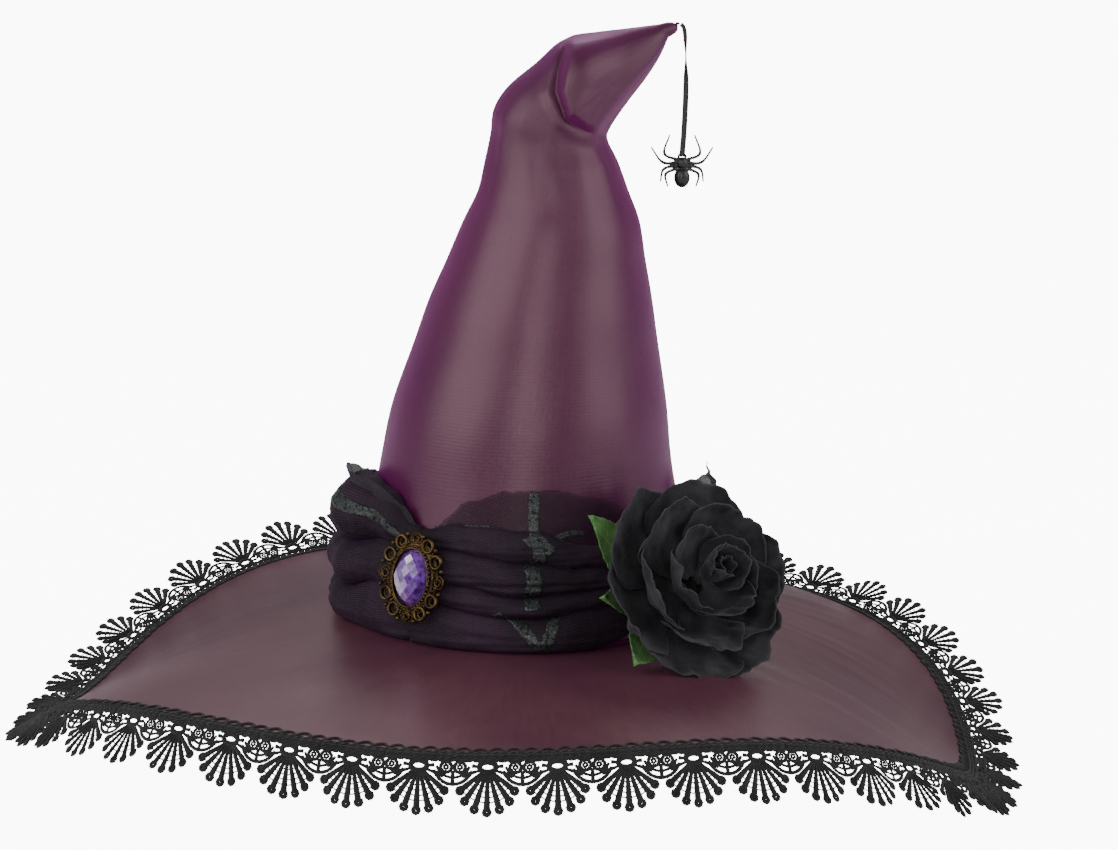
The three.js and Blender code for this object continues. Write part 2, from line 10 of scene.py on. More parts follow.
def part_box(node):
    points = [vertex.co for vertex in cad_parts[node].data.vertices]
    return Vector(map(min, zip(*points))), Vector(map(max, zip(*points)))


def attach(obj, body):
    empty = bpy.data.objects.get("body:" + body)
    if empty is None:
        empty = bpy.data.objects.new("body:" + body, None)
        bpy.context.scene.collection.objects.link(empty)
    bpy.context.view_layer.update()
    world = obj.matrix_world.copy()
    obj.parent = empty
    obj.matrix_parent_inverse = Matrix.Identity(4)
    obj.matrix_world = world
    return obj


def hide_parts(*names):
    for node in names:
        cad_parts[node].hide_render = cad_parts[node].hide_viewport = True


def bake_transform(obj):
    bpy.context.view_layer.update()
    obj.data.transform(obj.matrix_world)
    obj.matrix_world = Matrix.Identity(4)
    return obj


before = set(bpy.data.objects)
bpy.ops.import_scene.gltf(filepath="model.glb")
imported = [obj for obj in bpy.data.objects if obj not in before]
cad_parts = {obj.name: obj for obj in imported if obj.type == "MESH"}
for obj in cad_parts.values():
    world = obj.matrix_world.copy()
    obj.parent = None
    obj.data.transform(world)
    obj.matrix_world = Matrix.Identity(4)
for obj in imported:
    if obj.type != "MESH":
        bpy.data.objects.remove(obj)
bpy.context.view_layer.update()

# %% [markdown]
# # A witch hat in plum satin
# The CAD model gives every size and every joint of the hat. This lesson dresses it. Each
# cloth, lace, metal and plastic piece is modelled where its CAD solid is, stands in for that
# solid, and rides on the same moving body. Sizes below are in millimetres, and become
# metres only when a point is stored.
#
# The camera comes first, because every later choice is judged through it. A long lens far
# from the hat keeps the brim's curve calm and the tall cone upright.

# %% Camera
camera_data = bpy.data.cameras.new("camera")
camera_data.lens = 126.6
camera_data.sensor_width = 36
camera = bpy.data.objects.new("camera", camera_data)
camera_place = Vector((0.0173, -2.0462, 0.5710))
camera_aim = Vector((0.0173, 0, 0.0986))
camera.location = camera_place
camera.rotation_euler = (camera_aim - camera_place).to_track_quat("-Z", "Y").to_euler()
bpy.context.scene.collection.objects.link(camera)
bpy.context.scene.camera = camera
print("camera distance, metres:", round((camera_aim - camera_place).length, 3))

# %% [markdown]
# ## Tools for making pieces
# Most of the hat is cloth: a flat grid that is bent round something. So the main helper
# takes Blender's own grid and moves each of its points with a function of how far the
# point is along the grid, from 0 to 1 both ways. The grid keeps a UV map in metres of
# cloth, which lets a weave have its true size and follow the surface.

# %% A grid that follows a function
def lay_cloth(mesh_name, steps, place, cloth_size=(1, 1), closed=False, stops=None):
    """A grid of steps = (along, across) whose points go to place(u, v) in millimetres."""
    along, across = steps
    bm = bmesh.new()
    bmesh.ops.create_grid(bm, x_segments=along, y_segments=across, size=0.5)
    uv_layer = bm.loops.layers.uv.new("cloth")
    for face in bm.faces:
        face.smooth = True
        for loop in face.loops:
            share = (loop.vert.co.x + 0.5, loop.vert.co.y + 0.5)
            loop[uv_layer].uv = (share[0] * cloth_size[0], share[1] * cloth_size[1])
    for vert in bm.verts:
        u, v = vert.co.x + 0.5, vert.co.y + 0.5
        if stops:
            v = stops[round(v * across)]
        if closed and u > 1 - 1e-6:
            u = 0.0
        vert.co = Vector(place(u, v)) / 1000
    bmesh.ops.remove_doubles(bm, verts=bm.verts, dist=1e-6)
    return mesh_from(bm, mesh_name)


def mesh_from(bm, mesh_name):
    mesh = bpy.data.meshes.new(mesh_name)
    bm.to_mesh(mesh)
    bm.free()
    return mesh


# %% A piece on its body
def add_piece(name, mesh, body, material, replaced=()):
    piece = bpy.data.objects.new(name, mesh)
    bpy.context.scene.collection.objects.link(piece)
    if material and not mesh.materials:
        mesh.materials.append(material)
    if body:
        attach(piece, body)
    if replaced:
        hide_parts(*replaced)
    print(f"{name}: {len(mesh.polygons)} faces on {body or 'two bodies'}")
    return piece


def thicken(piece, thickness, offset=-1):
    """Gives a cloth its thickness in millimetres, inwards unless offset says otherwise."""
    solid = piece.modifiers.new("thickness", "SOLIDIFY")
    solid.thickness = thickness / 1000
    solid.offset = offset


def cloth_area(piece):
    """The area of a piece's mesh in square metres, before it has a thickness."""
    return sum(face.area for face in piece.data.polygons)


# %% Strokes: threads, wires and legs
def stroke_mesh(mesh_name, strokes, sides=1, flat=1.0):
    """Round strokes as one mesh. Each stroke is (points, radius or radii, closed), in millimetres."""
    curve = bpy.data.curves.new(mesh_name, "CURVE")
    curve.dimensions = "3D"
    curve.bevel_depth = 0.001
    curve.bevel_resolution = sides
    curve.use_fill_caps = True
    for points, radii, closed in strokes:
        spline = curve.splines.new("POLY")
        spline.points.add(len(points) - 1)
        sizes = radii if isinstance(radii, (list, tuple)) else [radii] * len(points)
        for spot, point, radius in zip(spline.points, points, sizes):
            spot.co = (*(c / 1000 for c in point), 1)
            spot.radius = radius
        spline.use_cyclic_u = closed
    holder = bpy.data.objects.new(mesh_name, curve)
    mesh = bpy.data.meshes.new_from_object(holder)
    bpy.data.objects.remove(holder)
    bpy.data.curves.remove(curve)
    mesh.name = mesh_name
    bm = bmesh.new()
    bm.from_mesh(mesh)
    bmesh.ops.remove_doubles(bm, verts=bm.verts, dist=1e-7)
    for face in bm.faces:
        face.smooth = True
    for vert in bm.verts:
        vert.co.z *= flat
    bm.to_mesh(mesh)
    bm.free()
    return mesh


# %% [markdown]
# ## Finishes
# A finish is a set of nodes. Two effects come back in nearly all of them: threads that
# cross each other, and soft patches where a colour drifts. Each is built once as a node
# group with named sockets, so that every finish sets its own thread count and colours.
# The groups only give numbers and colours, and the shader stays in the material.

# %% Node helpers
def add_node(tree, kind, sockets=None, **settings):
    node = tree.nodes.new(kind)
    for setting, value in settings.items():
        setattr(node, setting, value)
    for socket, value in (sockets or {}).items():
        if isinstance(value, bpy.types.NodeSocket):
            tree.links.new(value, node.inputs[socket])
        else:
            node.inputs[socket].default_value = value
    return node


def maths(tree, operation, first, second=0.0):
    """One Math node's result."""
    return add_node(tree, "ShaderNodeMath", {0: first, 1: second}, operation=operation).outputs[0]


def times_plus(tree, value, factor, addend):
    """A value times a factor, plus an addend."""
    sockets = {0: value, 1: factor, 2: addend}
    return add_node(tree, "ShaderNodeMath", sockets, operation="MULTIPLY_ADD").outputs[0]


def remap(tree, value, first=0.0, last=1.0, low=0.0, high=1.0):
    """Turns first to last into low to high, and goes no further at either end."""
    sockets = {"Value": value, "From Min": first, "From Max": last, "To Min": low, "To Max": high}
    return add_node(tree, "ShaderNodeMapRange", sockets).outputs[0]


def mix_colours(tree, share, first, second):
    """The first colour where share is 0, the second where it is 1, and a blend between."""
    sockets = {0: share, 6: first, 7: second}
    return add_node(tree, "ShaderNodeMix", sockets, data_type="RGBA").outputs[2]


def new_group(name, inputs, outputs):
    group = bpy.data.node_groups.new(name, "ShaderNodeTree")
    for in_out, sockets in (("INPUT", inputs), ("OUTPUT", outputs)):
        for socket, kind in sockets.items():
            group.interface.new_socket(socket, in_out=in_out, socket_type=f"NodeSocket{kind}")
    return group, group.nodes.new("NodeGroupInput"), group.nodes.new("NodeGroupOutput")


# %% The thread group
streak_scale = (500, 35, 1)


def make_thread_group():
    """Two sets of crossing threads: their height, and a streaky shade from thread to thread."""
    group, given, result = new_group(
        "crossing threads",
        {"Cloth": "Vector", "Threads per metre": "Float", "Slant": "Float"},
        {"Height": "Float", "Shade": "Float"},
    )
    parts = add_node(group, "ShaderNodeSeparateXYZ", {0: given.outputs["Cloth"]})
    turns = maths(group, "MULTIPLY", given.outputs["Threads per metre"], 2 * math.pi)
    leaning = maths(group, "MULTIPLY", parts.outputs["Y"], given.outputs["Slant"])
    warp_at = maths(group, "ADD", parts.outputs["X"], leaning)
    warp = maths(group, "SINE", maths(group, "MULTIPLY", warp_at, turns))
    weft = maths(group, "SINE", maths(group, "MULTIPLY", parts.outputs["Y"], turns))
    both = maths(group, "ADD", warp, weft)
    height = times_plus(group, both, 0.25, 0.5)
    stretch = add_node(
        group, "ShaderNodeMapping", {"Vector": given.outputs["Cloth"], "Scale": streak_scale}
    )
    streak = add_node(
        group, "ShaderNodeTexNoise", {"Vector": stretch.outputs[0], "Scale": 1.0, "Detail": 3.0}
    )
    group.links.new(height, result.inputs["Height"])
    group.links.new(streak.outputs[0], result.inputs["Shade"])
    return group


thread_group = make_thread_group()


# %% The patch group
def make_patch_group():
    """A colour that drifts between two others in soft patches."""
    group, given, result = new_group(
        "soft patches",
        {"Vector": "Vector", "Scale": "Float", "First": "Color", "Second": "Color"},
        {"Colour": "Color", "Amount": "Float"},
    )
    cloud = add_node(
        group,
        "ShaderNodeTexNoise",
        {"Vector": given.outputs["Vector"], "Scale": given.outputs["Scale"], "Detail": 4.0},
    )
    spread = remap(group, cloud.outputs[0], 0.35, 0.65)
    mixed = mix_colours(group, spread, given.outputs["First"], given.outputs["Second"])
    group.links.new(mixed, result.inputs["Colour"])
    group.links.new(spread, result.inputs["Amount"])
    return group


patch_group = make_patch_group()
print("node groups:", [group.name for group in bpy.data.node_groups])


# %% A finish from the two groups
def new_finish(name, **sockets):
    """A material and its shader, with plain values on the shader's own sockets."""
    material = bpy.data.materials.new(name)
    material.use_nodes = True
    shader = material.node_tree.nodes["Principled BSDF"]
    for socket, value in sockets.items():
        shader.inputs[socket.replace("_", " ")].default_value = value
    print("finish:", name)
    return material, shader


def rgb(red, green, blue):
    """A shader colour from three sRGB values of 0 to 255."""
    linear = []
    for value in (red, green, blue):
        share = value / 255
        linear.append(((share + 0.055) / 1.055) ** 2.4 if value > 10 else share / 12.92)
    return (*linear, 1.0)


def coordinates(tree, output):
    return add_node(tree, "ShaderNodeTexCoord").outputs[output]


def patches(tree, vector, scale, first, second):
    node = add_node(tree, "ShaderNodeGroup", node_tree=patch_group)
    tree.links.new(vector, node.inputs["Vector"])
    node.inputs["Scale"].default_value = scale
    node.inputs["First"].default_value = first
    node.inputs["Second"].default_value = second
    return node


def threads(tree, vector, per_metre, slant=0.0):
    node = add_node(tree, "ShaderNodeGroup", node_tree=thread_group)
    tree.links.new(vector, node.inputs["Cloth"])
    node.inputs["Threads per metre"].default_value = per_metre
    node.inputs["Slant"].default_value = slant
    return node


def shaded(tree, colour, amount, low, high):
    """A colour made darker or lighter by an amount of 0 to 1 that becomes low to high."""
    level = remap(tree, amount, low=low, high=high)
    return add_node(tree, "ShaderNodeHueSaturation", {"Value": level, "Color": colour}).outputs[0]


def roughness_from(tree, shader, amount, low, high):
    tree.links.new(remap(tree, amount, low=low, high=high), shader.inputs["Roughness"])


def bumps(tree, shader, layers):
    """Stacks bumps: each layer is (height, strength, depth in millimetres)."""
    normal = None
    for height, strength, depth in layers:
        sockets = {"Height": height, "Strength": strength, "Distance": depth / 1000}
        if normal:
            sockets["Normal"] = normal
        normal = add_node(tree, "ShaderNodeBump", sockets).outputs[0]
    tree.links.new(normal, shader.inputs["Normal"])


def cloud(tree, vector, scale, detail=3.0):
    sockets = {"Vector": vector, "Scale": scale, "Detail": detail}
    return add_node(tree, "ShaderNodeTexNoise", sockets).outputs[0]


def woven_finish(name, first, second, per_metre, slant=0.0, patch_scale=12, crumple=(60, 0.2, 0.5),
                 thread_bump=0.5, rough=(0.5, 0.7), depth=0.08, **sockets):
    """A woven cloth: threads, streaks, soft patches, and crumples of (scale, strength, mm)."""
    material, shader = new_finish(name, **sockets)
    tree = material.node_tree
    cloth = coordinates(tree, "UV")
    place = coordinates(tree, "Object")
    colour = patches(tree, place, patch_scale, first, second)
    weave = threads(tree, cloth, per_metre, slant)
    dyed = shaded(tree, colour.outputs["Colour"], weave.outputs["Shade"], 0.7, 1.3)
    # Painted shade: the colour is darker in the grooves between the threads and lighter on their tops.
    lit = shaded(tree, dyed, weave.outputs["Height"], 0.82, 1.18)
    tree.links.new(lit, shader.inputs["Base Color"])
    roughness_from(tree, shader, weave.outputs["Shade"], *rough)
    scale, strength, deep = crumple
    crumpled = (cloud(tree, place, scale), strength, deep)
    bumps(tree, shader, [crumpled, (weave.outputs["Height"], thread_bump, depth)])
    return material


# %% [markdown]
# ## The ribbon
# A narrow black satin ribbon hangs from the tip and carries the spider. It is the hat's
# only free cord, so it is made before anything else: 3 mm wide, limp, hanging under its
# load. Its line repeats the route of the CAD solid. A flat grid wrapped round that line
# gives a true ribbon, with rounded edges.

# %% The ribbon's line
ribbon_width = 3.0
ribbon_thick = 0.5
twist_place, twist_reach, twist_degrees = 0.34, 0.13, 78
ribbon_route = [
    (80.9, 0, 313.4), (82.0, 0, 312.3), (82.8, 0, 310.2), (83.2, 0, 306.8),
    (83.4, 0, 302.2), (83.6, 0, 297.2), (83.7, 0, 291.8), (83.8, 0, 286.2),
    (83.8, 0, 280.6), (83.7, 0, 275.0), (83.5, 0, 269.4), (83.3, 0, 263.8),
    (83.0, 0, 258.4), (82.7, 0, 253.0), (82.3, 0, 248.0), (82.0, 0, 243.4),
]


def smooth_line(points, share):
    """A point along a smooth curve through points (centripetal Catmull-Rom)."""
    place = share * (len(points) - 1)
    first = min(int(place), len(points) - 2)
    t = place - first
    p1, p2 = Vector(points[first]), Vector(points[first + 1])
    p0 = Vector(points[first - 1]) if first > 0 else 2 * p1 - p2
    p3 = Vector(points[first + 2]) if first + 2 < len(points) else 2 * p2 - p1
    d0, d1, d2 = ((b - a).length ** 0.5 or 1.0 for a, b in ((p0, p1), (p1, p2), (p2, p3)))
    t1 = ((p1 - p0) / d0 - (p2 - p0) / (d0 + d1) + (p2 - p1) / d1) * d1
    t2 = ((p2 - p1) / d1 - (p3 - p1) / (d1 + d2) + (p3 - p2) / d2) * d1
    square, cube = t * t, t * t * t
    return p1 + t1 * t + (3 * (p2 - p1) - 2 * t1 - t2) * square + (2 * (p1 - p2) + t1 + t2) * cube


ribbon_steps = 60

# %% Ribbon finish and mesh
ribbon_satin = woven_finish(
    "black ribbon satin", rgb(24, 22, 25), rgb(14, 13, 15), 2600, rough=(0.3, 0.42),
    thread_bump=0.3, depth=0.03, Sheen_Weight=0.2, Specular_IOR_Level=0.6,
)


def ease(value):
    """Goes softly from 0 to 1."""
    value = min(1, max(0, value))
    return value * value * (3 - 2 * value)


def ribbon_point(u, v):
    """A point on the ribbon's skin. The ribbon twists edge-on a third of the way down."""
    centre = smooth_line(ribbon_route, u)
    ahead = smooth_line(ribbon_route, min(1, u + 0.01)) - smooth_line(ribbon_route, max(0, u - 0.01))
    ahead.normalize()
    twist = math.radians(twist_degrees) * math.exp(-(((u - twist_place) / twist_reach) ** 2))
    side = Matrix.Rotation(twist, 3, ahead) @ Vector((ahead.z, 0, -ahead.x))
    out = side.cross(ahead)
    turn = 2 * math.pi * v
    gathered_share = 0.72 + 0.28 * ease(u / 0.6)
    half = ribbon_width / 2 * gathered_share
    return centre + side * half * math.cos(turn) + out * (ribbon_thick / 2 * math.sin(turn))


def close_tube(mesh):
    """Closes the open ends of a tube and makes its faces point outwards."""
    bm = bmesh.new()
    bm.from_mesh(mesh)
    bmesh.ops.remove_doubles(bm, verts=bm.verts, dist=1e-6)
    bmesh.ops.holes_fill(bm, edges=bm.edges, sides=0)
    bmesh.ops.recalc_face_normals(bm, faces=bm.faces)
    bm.to_mesh(mesh)
    bm.free()
    return mesh


ribbon_mesh = close_tube(lay_cloth("ribbon", (ribbon_steps, 14), ribbon_point, (0.072, 0.006)))
ribbon = add_piece("ribbon", ribbon_mesh, "ribbon", ribbon_satin, ["spider_ribbon"])

# %% [markdown]
# ## The spider
# The spider is one small moulding in glossy black plastic: a round head, a larger
# abdomen, eight legs with a sharp knee and two short feelers. Tapered strokes make the
# legs, squashed balls the body, and a voxel remesh fuses them as the mould does.

# %% Spider finish
def moulded_plastic(name, colour, other, rough):
    material, shader = new_finish(name, Specular_IOR_Level=0.55, Coat_Weight=0.25, Coat_Roughness=0.15)
    tree = material.node_tree
    place = coordinates(tree, "Object")
    tint = patches(tree, place, 300, colour, other)
    tree.links.new(tint.outputs["Colour"], shader.inputs["Base Color"])
    roughness_from(tree, shader, tint.outputs["Amount"], *rough)
    bumps(tree, shader, [(cloud(tree, place, 900), 0.25, 0.1)])
    return material


spider_plastic = moulded_plastic("black plastic", rgb(17, 16, 19), rgb(28, 27, 31), (0.28, 0.42))

# %% Spider body and legs
spider_head = Vector((82.0, 0, 239.9))
spider_legs = [
    [(1.5, 1.6), (9.3, 5.2), (6.5, 15.2)],
    [(1.5, 0.6), (10, 0.6), (16.3, 8.6)],
    [(1.5, -1.0), (9.7, -3), (11.3, -9.8)],
    [(1.5, -2.4), (8.6, -5.6), (7.4, -12.5)],
]
feeler = [(0.9, 2.2), (2.0, 3.9), (1.4, 5.2)]
leg_thick, feeler_thick = 0.95, 0.62
leg_steps = 12


def leg_stroke(joints, side, thick):
    """A bent leg that thins from the body to its foot and swells at the knee."""
    points, radii = [], []
    for k in range(leg_steps + 1):
        share = k / leg_steps
        flat = smooth_line([(out, 0, up) for out, up in joints], share)
        forward = -0.9 * math.sin(math.pi * share)
        points.append(spider_head + Vector((side * flat.x, forward, flat.z)))
        knee = math.exp(-(((share - 0.5) / 0.09) ** 2))
        radii.append(thick * (1 - 0.5 * share) + 0.16 * knee)
    return points, radii, False


strokes = [leg_stroke(leg, side, leg_thick) for side in (-1, 1) for leg in spider_legs]
strokes += [leg_stroke(feeler, side, feeler_thick) for side in (-1, 1)]
spider_mesh = stroke_mesh("spider", strokes, sides=2)


def add_ball(bm, centre, size):
    """A squashed ball, in millimetres."""
    place = Matrix.Translation(Vector(centre) / 1000) @ Matrix.Diagonal([*(s / 1000 for s in size), 1])
    bmesh.ops.create_uvsphere(bm, u_segments=20, v_segments=14, radius=1, matrix=place)


bm = bmesh.new()
bm.from_mesh(spider_mesh)
add_ball(bm, spider_head, (3.0, 2.3, 3.2))
add_ball(bm, spider_head - Vector((0, 0, 3.6)), (1.5, 1.4, 1.4))
add_ball(bm, spider_head - Vector((0, 0.2, 7.6)), (4.2, 3.3, 5.3))
bm.to_mesh(spider_mesh)
bm.free()
spider = add_piece("spider", spider_mesh, "spider", spider_plastic, ["spider"])
fuse = spider.modifiers.new("fuse", "REMESH")
fuse.mode = "VOXEL"
fuse.voxel_size = 0.0003
fuse.use_smooth_shade = True

# %% [markdown]
# ## The tack
# A few stitches of black thread hold the ribbon to the tip. Three strokes of thread
# wound round each other make the small knot.

# %% Tack
black_thread = woven_finish(
    "black thread", rgb(40, 38, 41), rgb(24, 22, 25), 3000, rough=(0.7, 0.9), Sheen_Weight=0.3
)
tack_low, tack_high = (Vector(corner) * 1000 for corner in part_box("ribbon_tack"))
tack_centre = (tack_low + tack_high) / 2


def oval(half_width, half_height, steps, up, start=0.0):
    """Points round a level oval, in millimetres."""
    turns = [start + 2 * math.pi * k / steps for k in range(steps)]
    return [(half_width * math.cos(t), half_height * math.sin(t), up) for t in turns]


def tack_loop(tilt, radius=1.05, thread_radius=0.26, steps=16):
    """A closed ring of thread round the tack's middle, leaned by a tilt in degrees."""
    lean = Matrix.Rotation(math.radians(tilt), 3, "X")
    ring = oval(radius, radius, steps, 0)
    return [tack_centre + lean @ Vector(point) for point in ring], thread_radius, True


tack_mesh = stroke_mesh("tack", [tack_loop(tilt) for tilt in (-18, 0, 18)])
add_piece("ribbon_tack_stitches", tack_mesh, "tack", black_thread, ["ribbon_tack"])

# %% [markdown]
# ## Plum satin
# The hat is covered in a shot satin: brown-mauve where its gloss shows, and magenta
# where it turns away, because its crossing threads are dyed differently. The dye is a
# deep plum, a broad warm gloss lies over it, and sheen with a magenta tint adds the edge
# colour, so all of it holds from every side. Fine slanted threads give the grain.

# %% Satin finish
def satin_finish(name, first, second, per_metre, slant, crumple, edge):
    """Shot satin: edge is how strongly its second thread colour shows where it turns away."""
    return woven_finish(
        name, first, second, per_metre, slant, patch_scale=7, crumple=crumple, thread_bump=0.45,
        depth=0.06, rough=(0.3, 0.4), Specular_IOR_Level=0.85, Specular_Tint=rgb(255, 226, 226),
        Sheen_Weight=edge, Sheen_Roughness=0.65, Sheen_Tint=rgb(160, 0, 145),
    )


satin_threads = 1300
crown_satin = satin_finish(
    "plum satin crown", rgb(68, 27, 47), rgb(50, 16, 36), satin_threads, 0.35, (22, 0.3, 1.2), 0.85
)
# Painted light: the brim's copy of the satin has a lighter, browner base than the crown's, which stands
# in for the gloss and light that the brim catches.
brim_satin = satin_finish(
    "plum satin brim", rgb(102, 68, 68), rgb(76, 47, 50), satin_threads, 0.6, (16, 0.35, 1.5), 0.12
)

# %% [markdown]
# ## The crown
# The crown is a tall cone of satin over foam. Near its top it folds forward on itself,
# and the end pinches into a small tip. Two edge lines, seen from the front, hold the
# whole shape: at every station a ring spans them. One sheet of cloth makes crown and tip
# together, so that the fold has no seam.

# %% The crown's wall
crown_base = 94.8
crown_height = 314
crown_stations = [
    (-1.0, 0.0, 1.0, 0.0), (-0.826, 0.235, 0.824, 0.235), (-0.738, 0.358, 0.782, 0.358),
    (-0.618, 0.461, 0.73, 0.461), (-0.538, 0.531, 0.7, 0.531), (-0.436, 0.6, 0.661, 0.6),
    (-0.34, 0.668, 0.626, 0.668), (-0.261, 0.718, 0.564, 0.718), (-0.217, 0.769, 0.498, 0.769),
    (-0.185, 0.815, 0.448, 0.8), (-0.165, 0.855, 0.442, 0.812), (-0.09, 0.892, 0.46, 0.826),
    (0.06, 0.932, 0.5, 0.845), (0.21, 0.971, 0.565, 0.872), (0.4, 0.984, 0.66, 0.909),
    (0.59, 0.992, 0.735, 0.944), (0.74, 0.998, 0.785, 0.976),
]
last_station = len(crown_stations) - 1
tip_end = Vector((0.838 * crown_base, 0, 0.996 * crown_height))
left_edge = [(x * crown_base, 0, z * crown_height) for x, z, _, _ in crown_stations]
right_edge = [(x * crown_base, 0, z * crown_height) for _, _, x, z in crown_stations]


def crown_ring(station):
    """A ring's middle and half width at a station."""
    left = smooth_line(left_edge, station / last_station)
    right = smooth_line(right_edge, station / last_station)
    return (left + right) / 2, (right - left) / 2


def crown_point(angle, station, inset=0.0):
    """A point of the crown's wall: angle 0 is the right edge, and inset goes inwards."""
    middle, half = crown_ring(station)
    radius = half.length
    reach = radius - inset
    across = half * (reach / radius * math.cos(angle))
    return Vector((middle.x + across.x, reach * math.sin(angle), middle.z + across.z))


def station_at(height):
    """The station at a height on the straight lower crown."""
    return height / (crown_stations[1][1] * crown_height)


# %% The fold at the tip
fold_starts = 8.5
sunk_depth, ridge_height = 8.5, 2.2
fold_route = ((20.5, 305), (17, 292), (15.5, 282), (20, 268), (29, 261), (43, 254))
fold_line = [Vector(point) for point in fold_route]


def fold_place(point):
    """How far a point lies from the fold line, positive to its right, and how far along."""
    flat = Vector((point.x, point.z))
    best, along = None, 0
    for number, (a, b) in enumerate(zip(fold_line, fold_line[1:])):
        run = b - a
        share = min(1, max(0, (flat - a).dot(run) / run.length_squared))
        off = flat - (a + run * share)
        side = 1 if run.x * off.y - run.y * off.x > 0 else -1
        if best is None or off.length < abs(best):
            best, along = side * off.length, (number + share) / (len(fold_line) - 1)
    return best, along


def crease(point, station):
    """Sinks the tip's cloth behind the fold line and raises the ridge beside it."""
    if station < fold_starts or abs(point.y) < 1e-6:
        return point
    off, along = fold_place(point)
    sunk = sunk_depth * ease((off + 1) / 7) * (1 - ease((off - 7) / 26))
    ridge = ridge_height * math.exp(-(((off + 3) / 3.4) ** 2))
    begun = ease((station - fold_starts) / 1.5)
    near_edge = min(1, abs(point.y) / 9)
    fade = begun * near_edge * (1 - 0.8 * ease((along - 0.6) / 0.4))
    shift = (ridge - sunk) * fade
    return Vector((point.x, point.y + math.copysign(shift, point.y), point.z))


# %% Soft creases down the cone
def drape(point, angle, station):
    """Long soft hollows that run down the cone, and small puckers under the fold."""
    around = Vector((math.cos(angle), math.sin(angle), 0))
    long_hollow = noise.noise(around * 1.6 + Vector((0, 0, point.z / 170)))
    pucker = noise.noise(around * 3.4 + Vector((5, 3, point.z / 34)))
    near_fold = ease((station - 5.5) / 4)
    rise = ease(station / 1.2)
    shift = rise * (1.1 * (0.6 + long_hollow) + (0.3 + 1.1 * near_fold) * (0.5 + pucker))
    half_width = crown_ring(min(station, last_station))[1].length
    return point + around * shift * min(1, half_width / 40)


# %% Crown and tip cover
# The grid's rows are closest where the crown folds, because the shape changes fastest there.
crown_stops = [k / 18 for k in range(18)]
crown_stops += [1 + k / 6 for k in range(6 * 7)]
crown_stops += [8 + k / 16 for k in range(16 * 6)]
crown_stops += [14 + k / 6 for k in range(6 * (last_station - 14) + 1)]
end_stops = [last_station + k / 5 for k in range(1, 6)]
all_stops = crown_stops + end_stops


def cover_point(u, station):
    """A point of the satin: the crown's wall, then a rounded end over the last station."""
    angle = 2 * math.pi * u
    if station <= last_station:
        return drape(crease(crown_point(angle, station), station), angle, station)
    share = station - last_station
    middle = crown_ring(last_station)[0]
    shrink = math.sqrt(max(0, 1 - share * share))
    ring = crown_point(angle, last_station) - middle
    return middle + (tip_end - middle) * share + ring * shrink


cover_mesh = lay_cloth(
    "crown_cover", (240, len(all_stops) - 1), cover_point, (0.56, 0.44), True, all_stops
)
crown_cover = add_piece(
    "crown_cover_satin", cover_mesh, None, crown_satin, ["crown_cover", "tip_cover"]
)
thicken(crown_cover, 0.8)
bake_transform(crown_cover)

# %% [markdown]
# ## The brim
# The brim is buckram between two layers of satin, with a wire sewn into its rim. The
# wire lets the rim wave: it hangs low at both sides and rises behind. One ring of cloth
# runs out along the top, round the rim and back underneath. On the right the satin is
# pulled towards the crown, which leaves fine rays.

# %% The brim's surface
brim_width = 166
slope_at_crown = 0.45


def rim_drop(angle):
    """How far the rim hangs below the head opening: a few waves round the hat, in mm."""
    return (
        37.5 + 12 * math.cos(angle) + 20 * math.sin(angle)
        + 24 * math.cos(2 * angle) - 3 * math.sin(2 * angle)
        + 8 * math.cos(4 * angle) - 6 * math.sin(4 * angle)
    )


def brim_frame(angle, flat_radius):
    """Radius and height of the brim's top where its cloth has this flat radius, and its slope."""
    reach = max(0.0, flat_radius - crown_base)
    share = reach / brim_width
    curve = 1 - slope_at_crown
    drop = rim_drop(angle) * share * (slope_at_crown + curve * share)
    sine = rim_drop(angle) * (slope_at_crown + 2 * curve * share) / brim_width if reach > 0 else 0
    radius = crown_base + math.sqrt(reach * reach - drop * drop) if reach > 0 else flat_radius
    return radius, -drop, sine, math.sqrt(1 - sine * sine)


def around(angle, radius, height):
    return Vector((radius * math.cos(angle), radius * math.sin(angle), height))


def brim_point(angle, flat_radius, lift):
    radius, height, sine, cosine = brim_frame(angle, flat_radius)
    return around(angle, radius + lift * sine, height + lift * cosine)


# %% Brim cover
rim_radius = crown_base + brim_width
brim_inner = 92
brim_top, brim_bottom = -0.3, -3.7
rim_hem = 8
rim_round = (brim_top - brim_bottom) / 2
flat_steps, round_steps = 44, 8
flat_run = rim_radius - rim_round - brim_inner
brim_section = [(brim_inner + flat_run * k / flat_steps, brim_top) for k in range(flat_steps + 1)]
for k in range(1, round_steps):
    turn = math.pi * k / round_steps
    brim_section.append((
        rim_radius - rim_round + rim_round * math.sin(turn),
        (brim_top + brim_bottom) / 2 + rim_round * math.cos(turn),
    ))
brim_section += [(radius, brim_bottom) for radius, _ in reversed(brim_section[:flat_steps + 1])]


def pulled(angle, flat_radius):
    """Fine rays where the satin is pulled to the crown, and slow waves in the buckram."""
    out = (flat_radius - crown_base) / brim_width
    turn = math.degrees(angle)
    right = ease((70 - abs((turn + 180) % 360 - 180)) / 50)
    ray = noise.noise(Vector((turn / 2.6, out * 1.1, 3)))
    wave = noise.noise(Vector((math.cos(angle) * 3, math.sin(angle) * 3, out * 2)))
    return 4 * out * (1 - out) * ((0.25 + 0.75 * right) * 0.9 * ray + 1.2 * wave)


def brim_cover_point(u, v):
    """A point of the brim's satin. Below, it only ever moves away from the buckram."""
    angle = 2 * math.pi * u
    flat_radius, lift = brim_section[round(v * (len(brim_section) - 1))]
    if brim_inner < flat_radius < rim_radius - rim_hem:
        shift = pulled(angle, flat_radius)
        lift += shift if lift == brim_top else -0.5 * abs(shift)
    return brim_point(angle, flat_radius, lift)


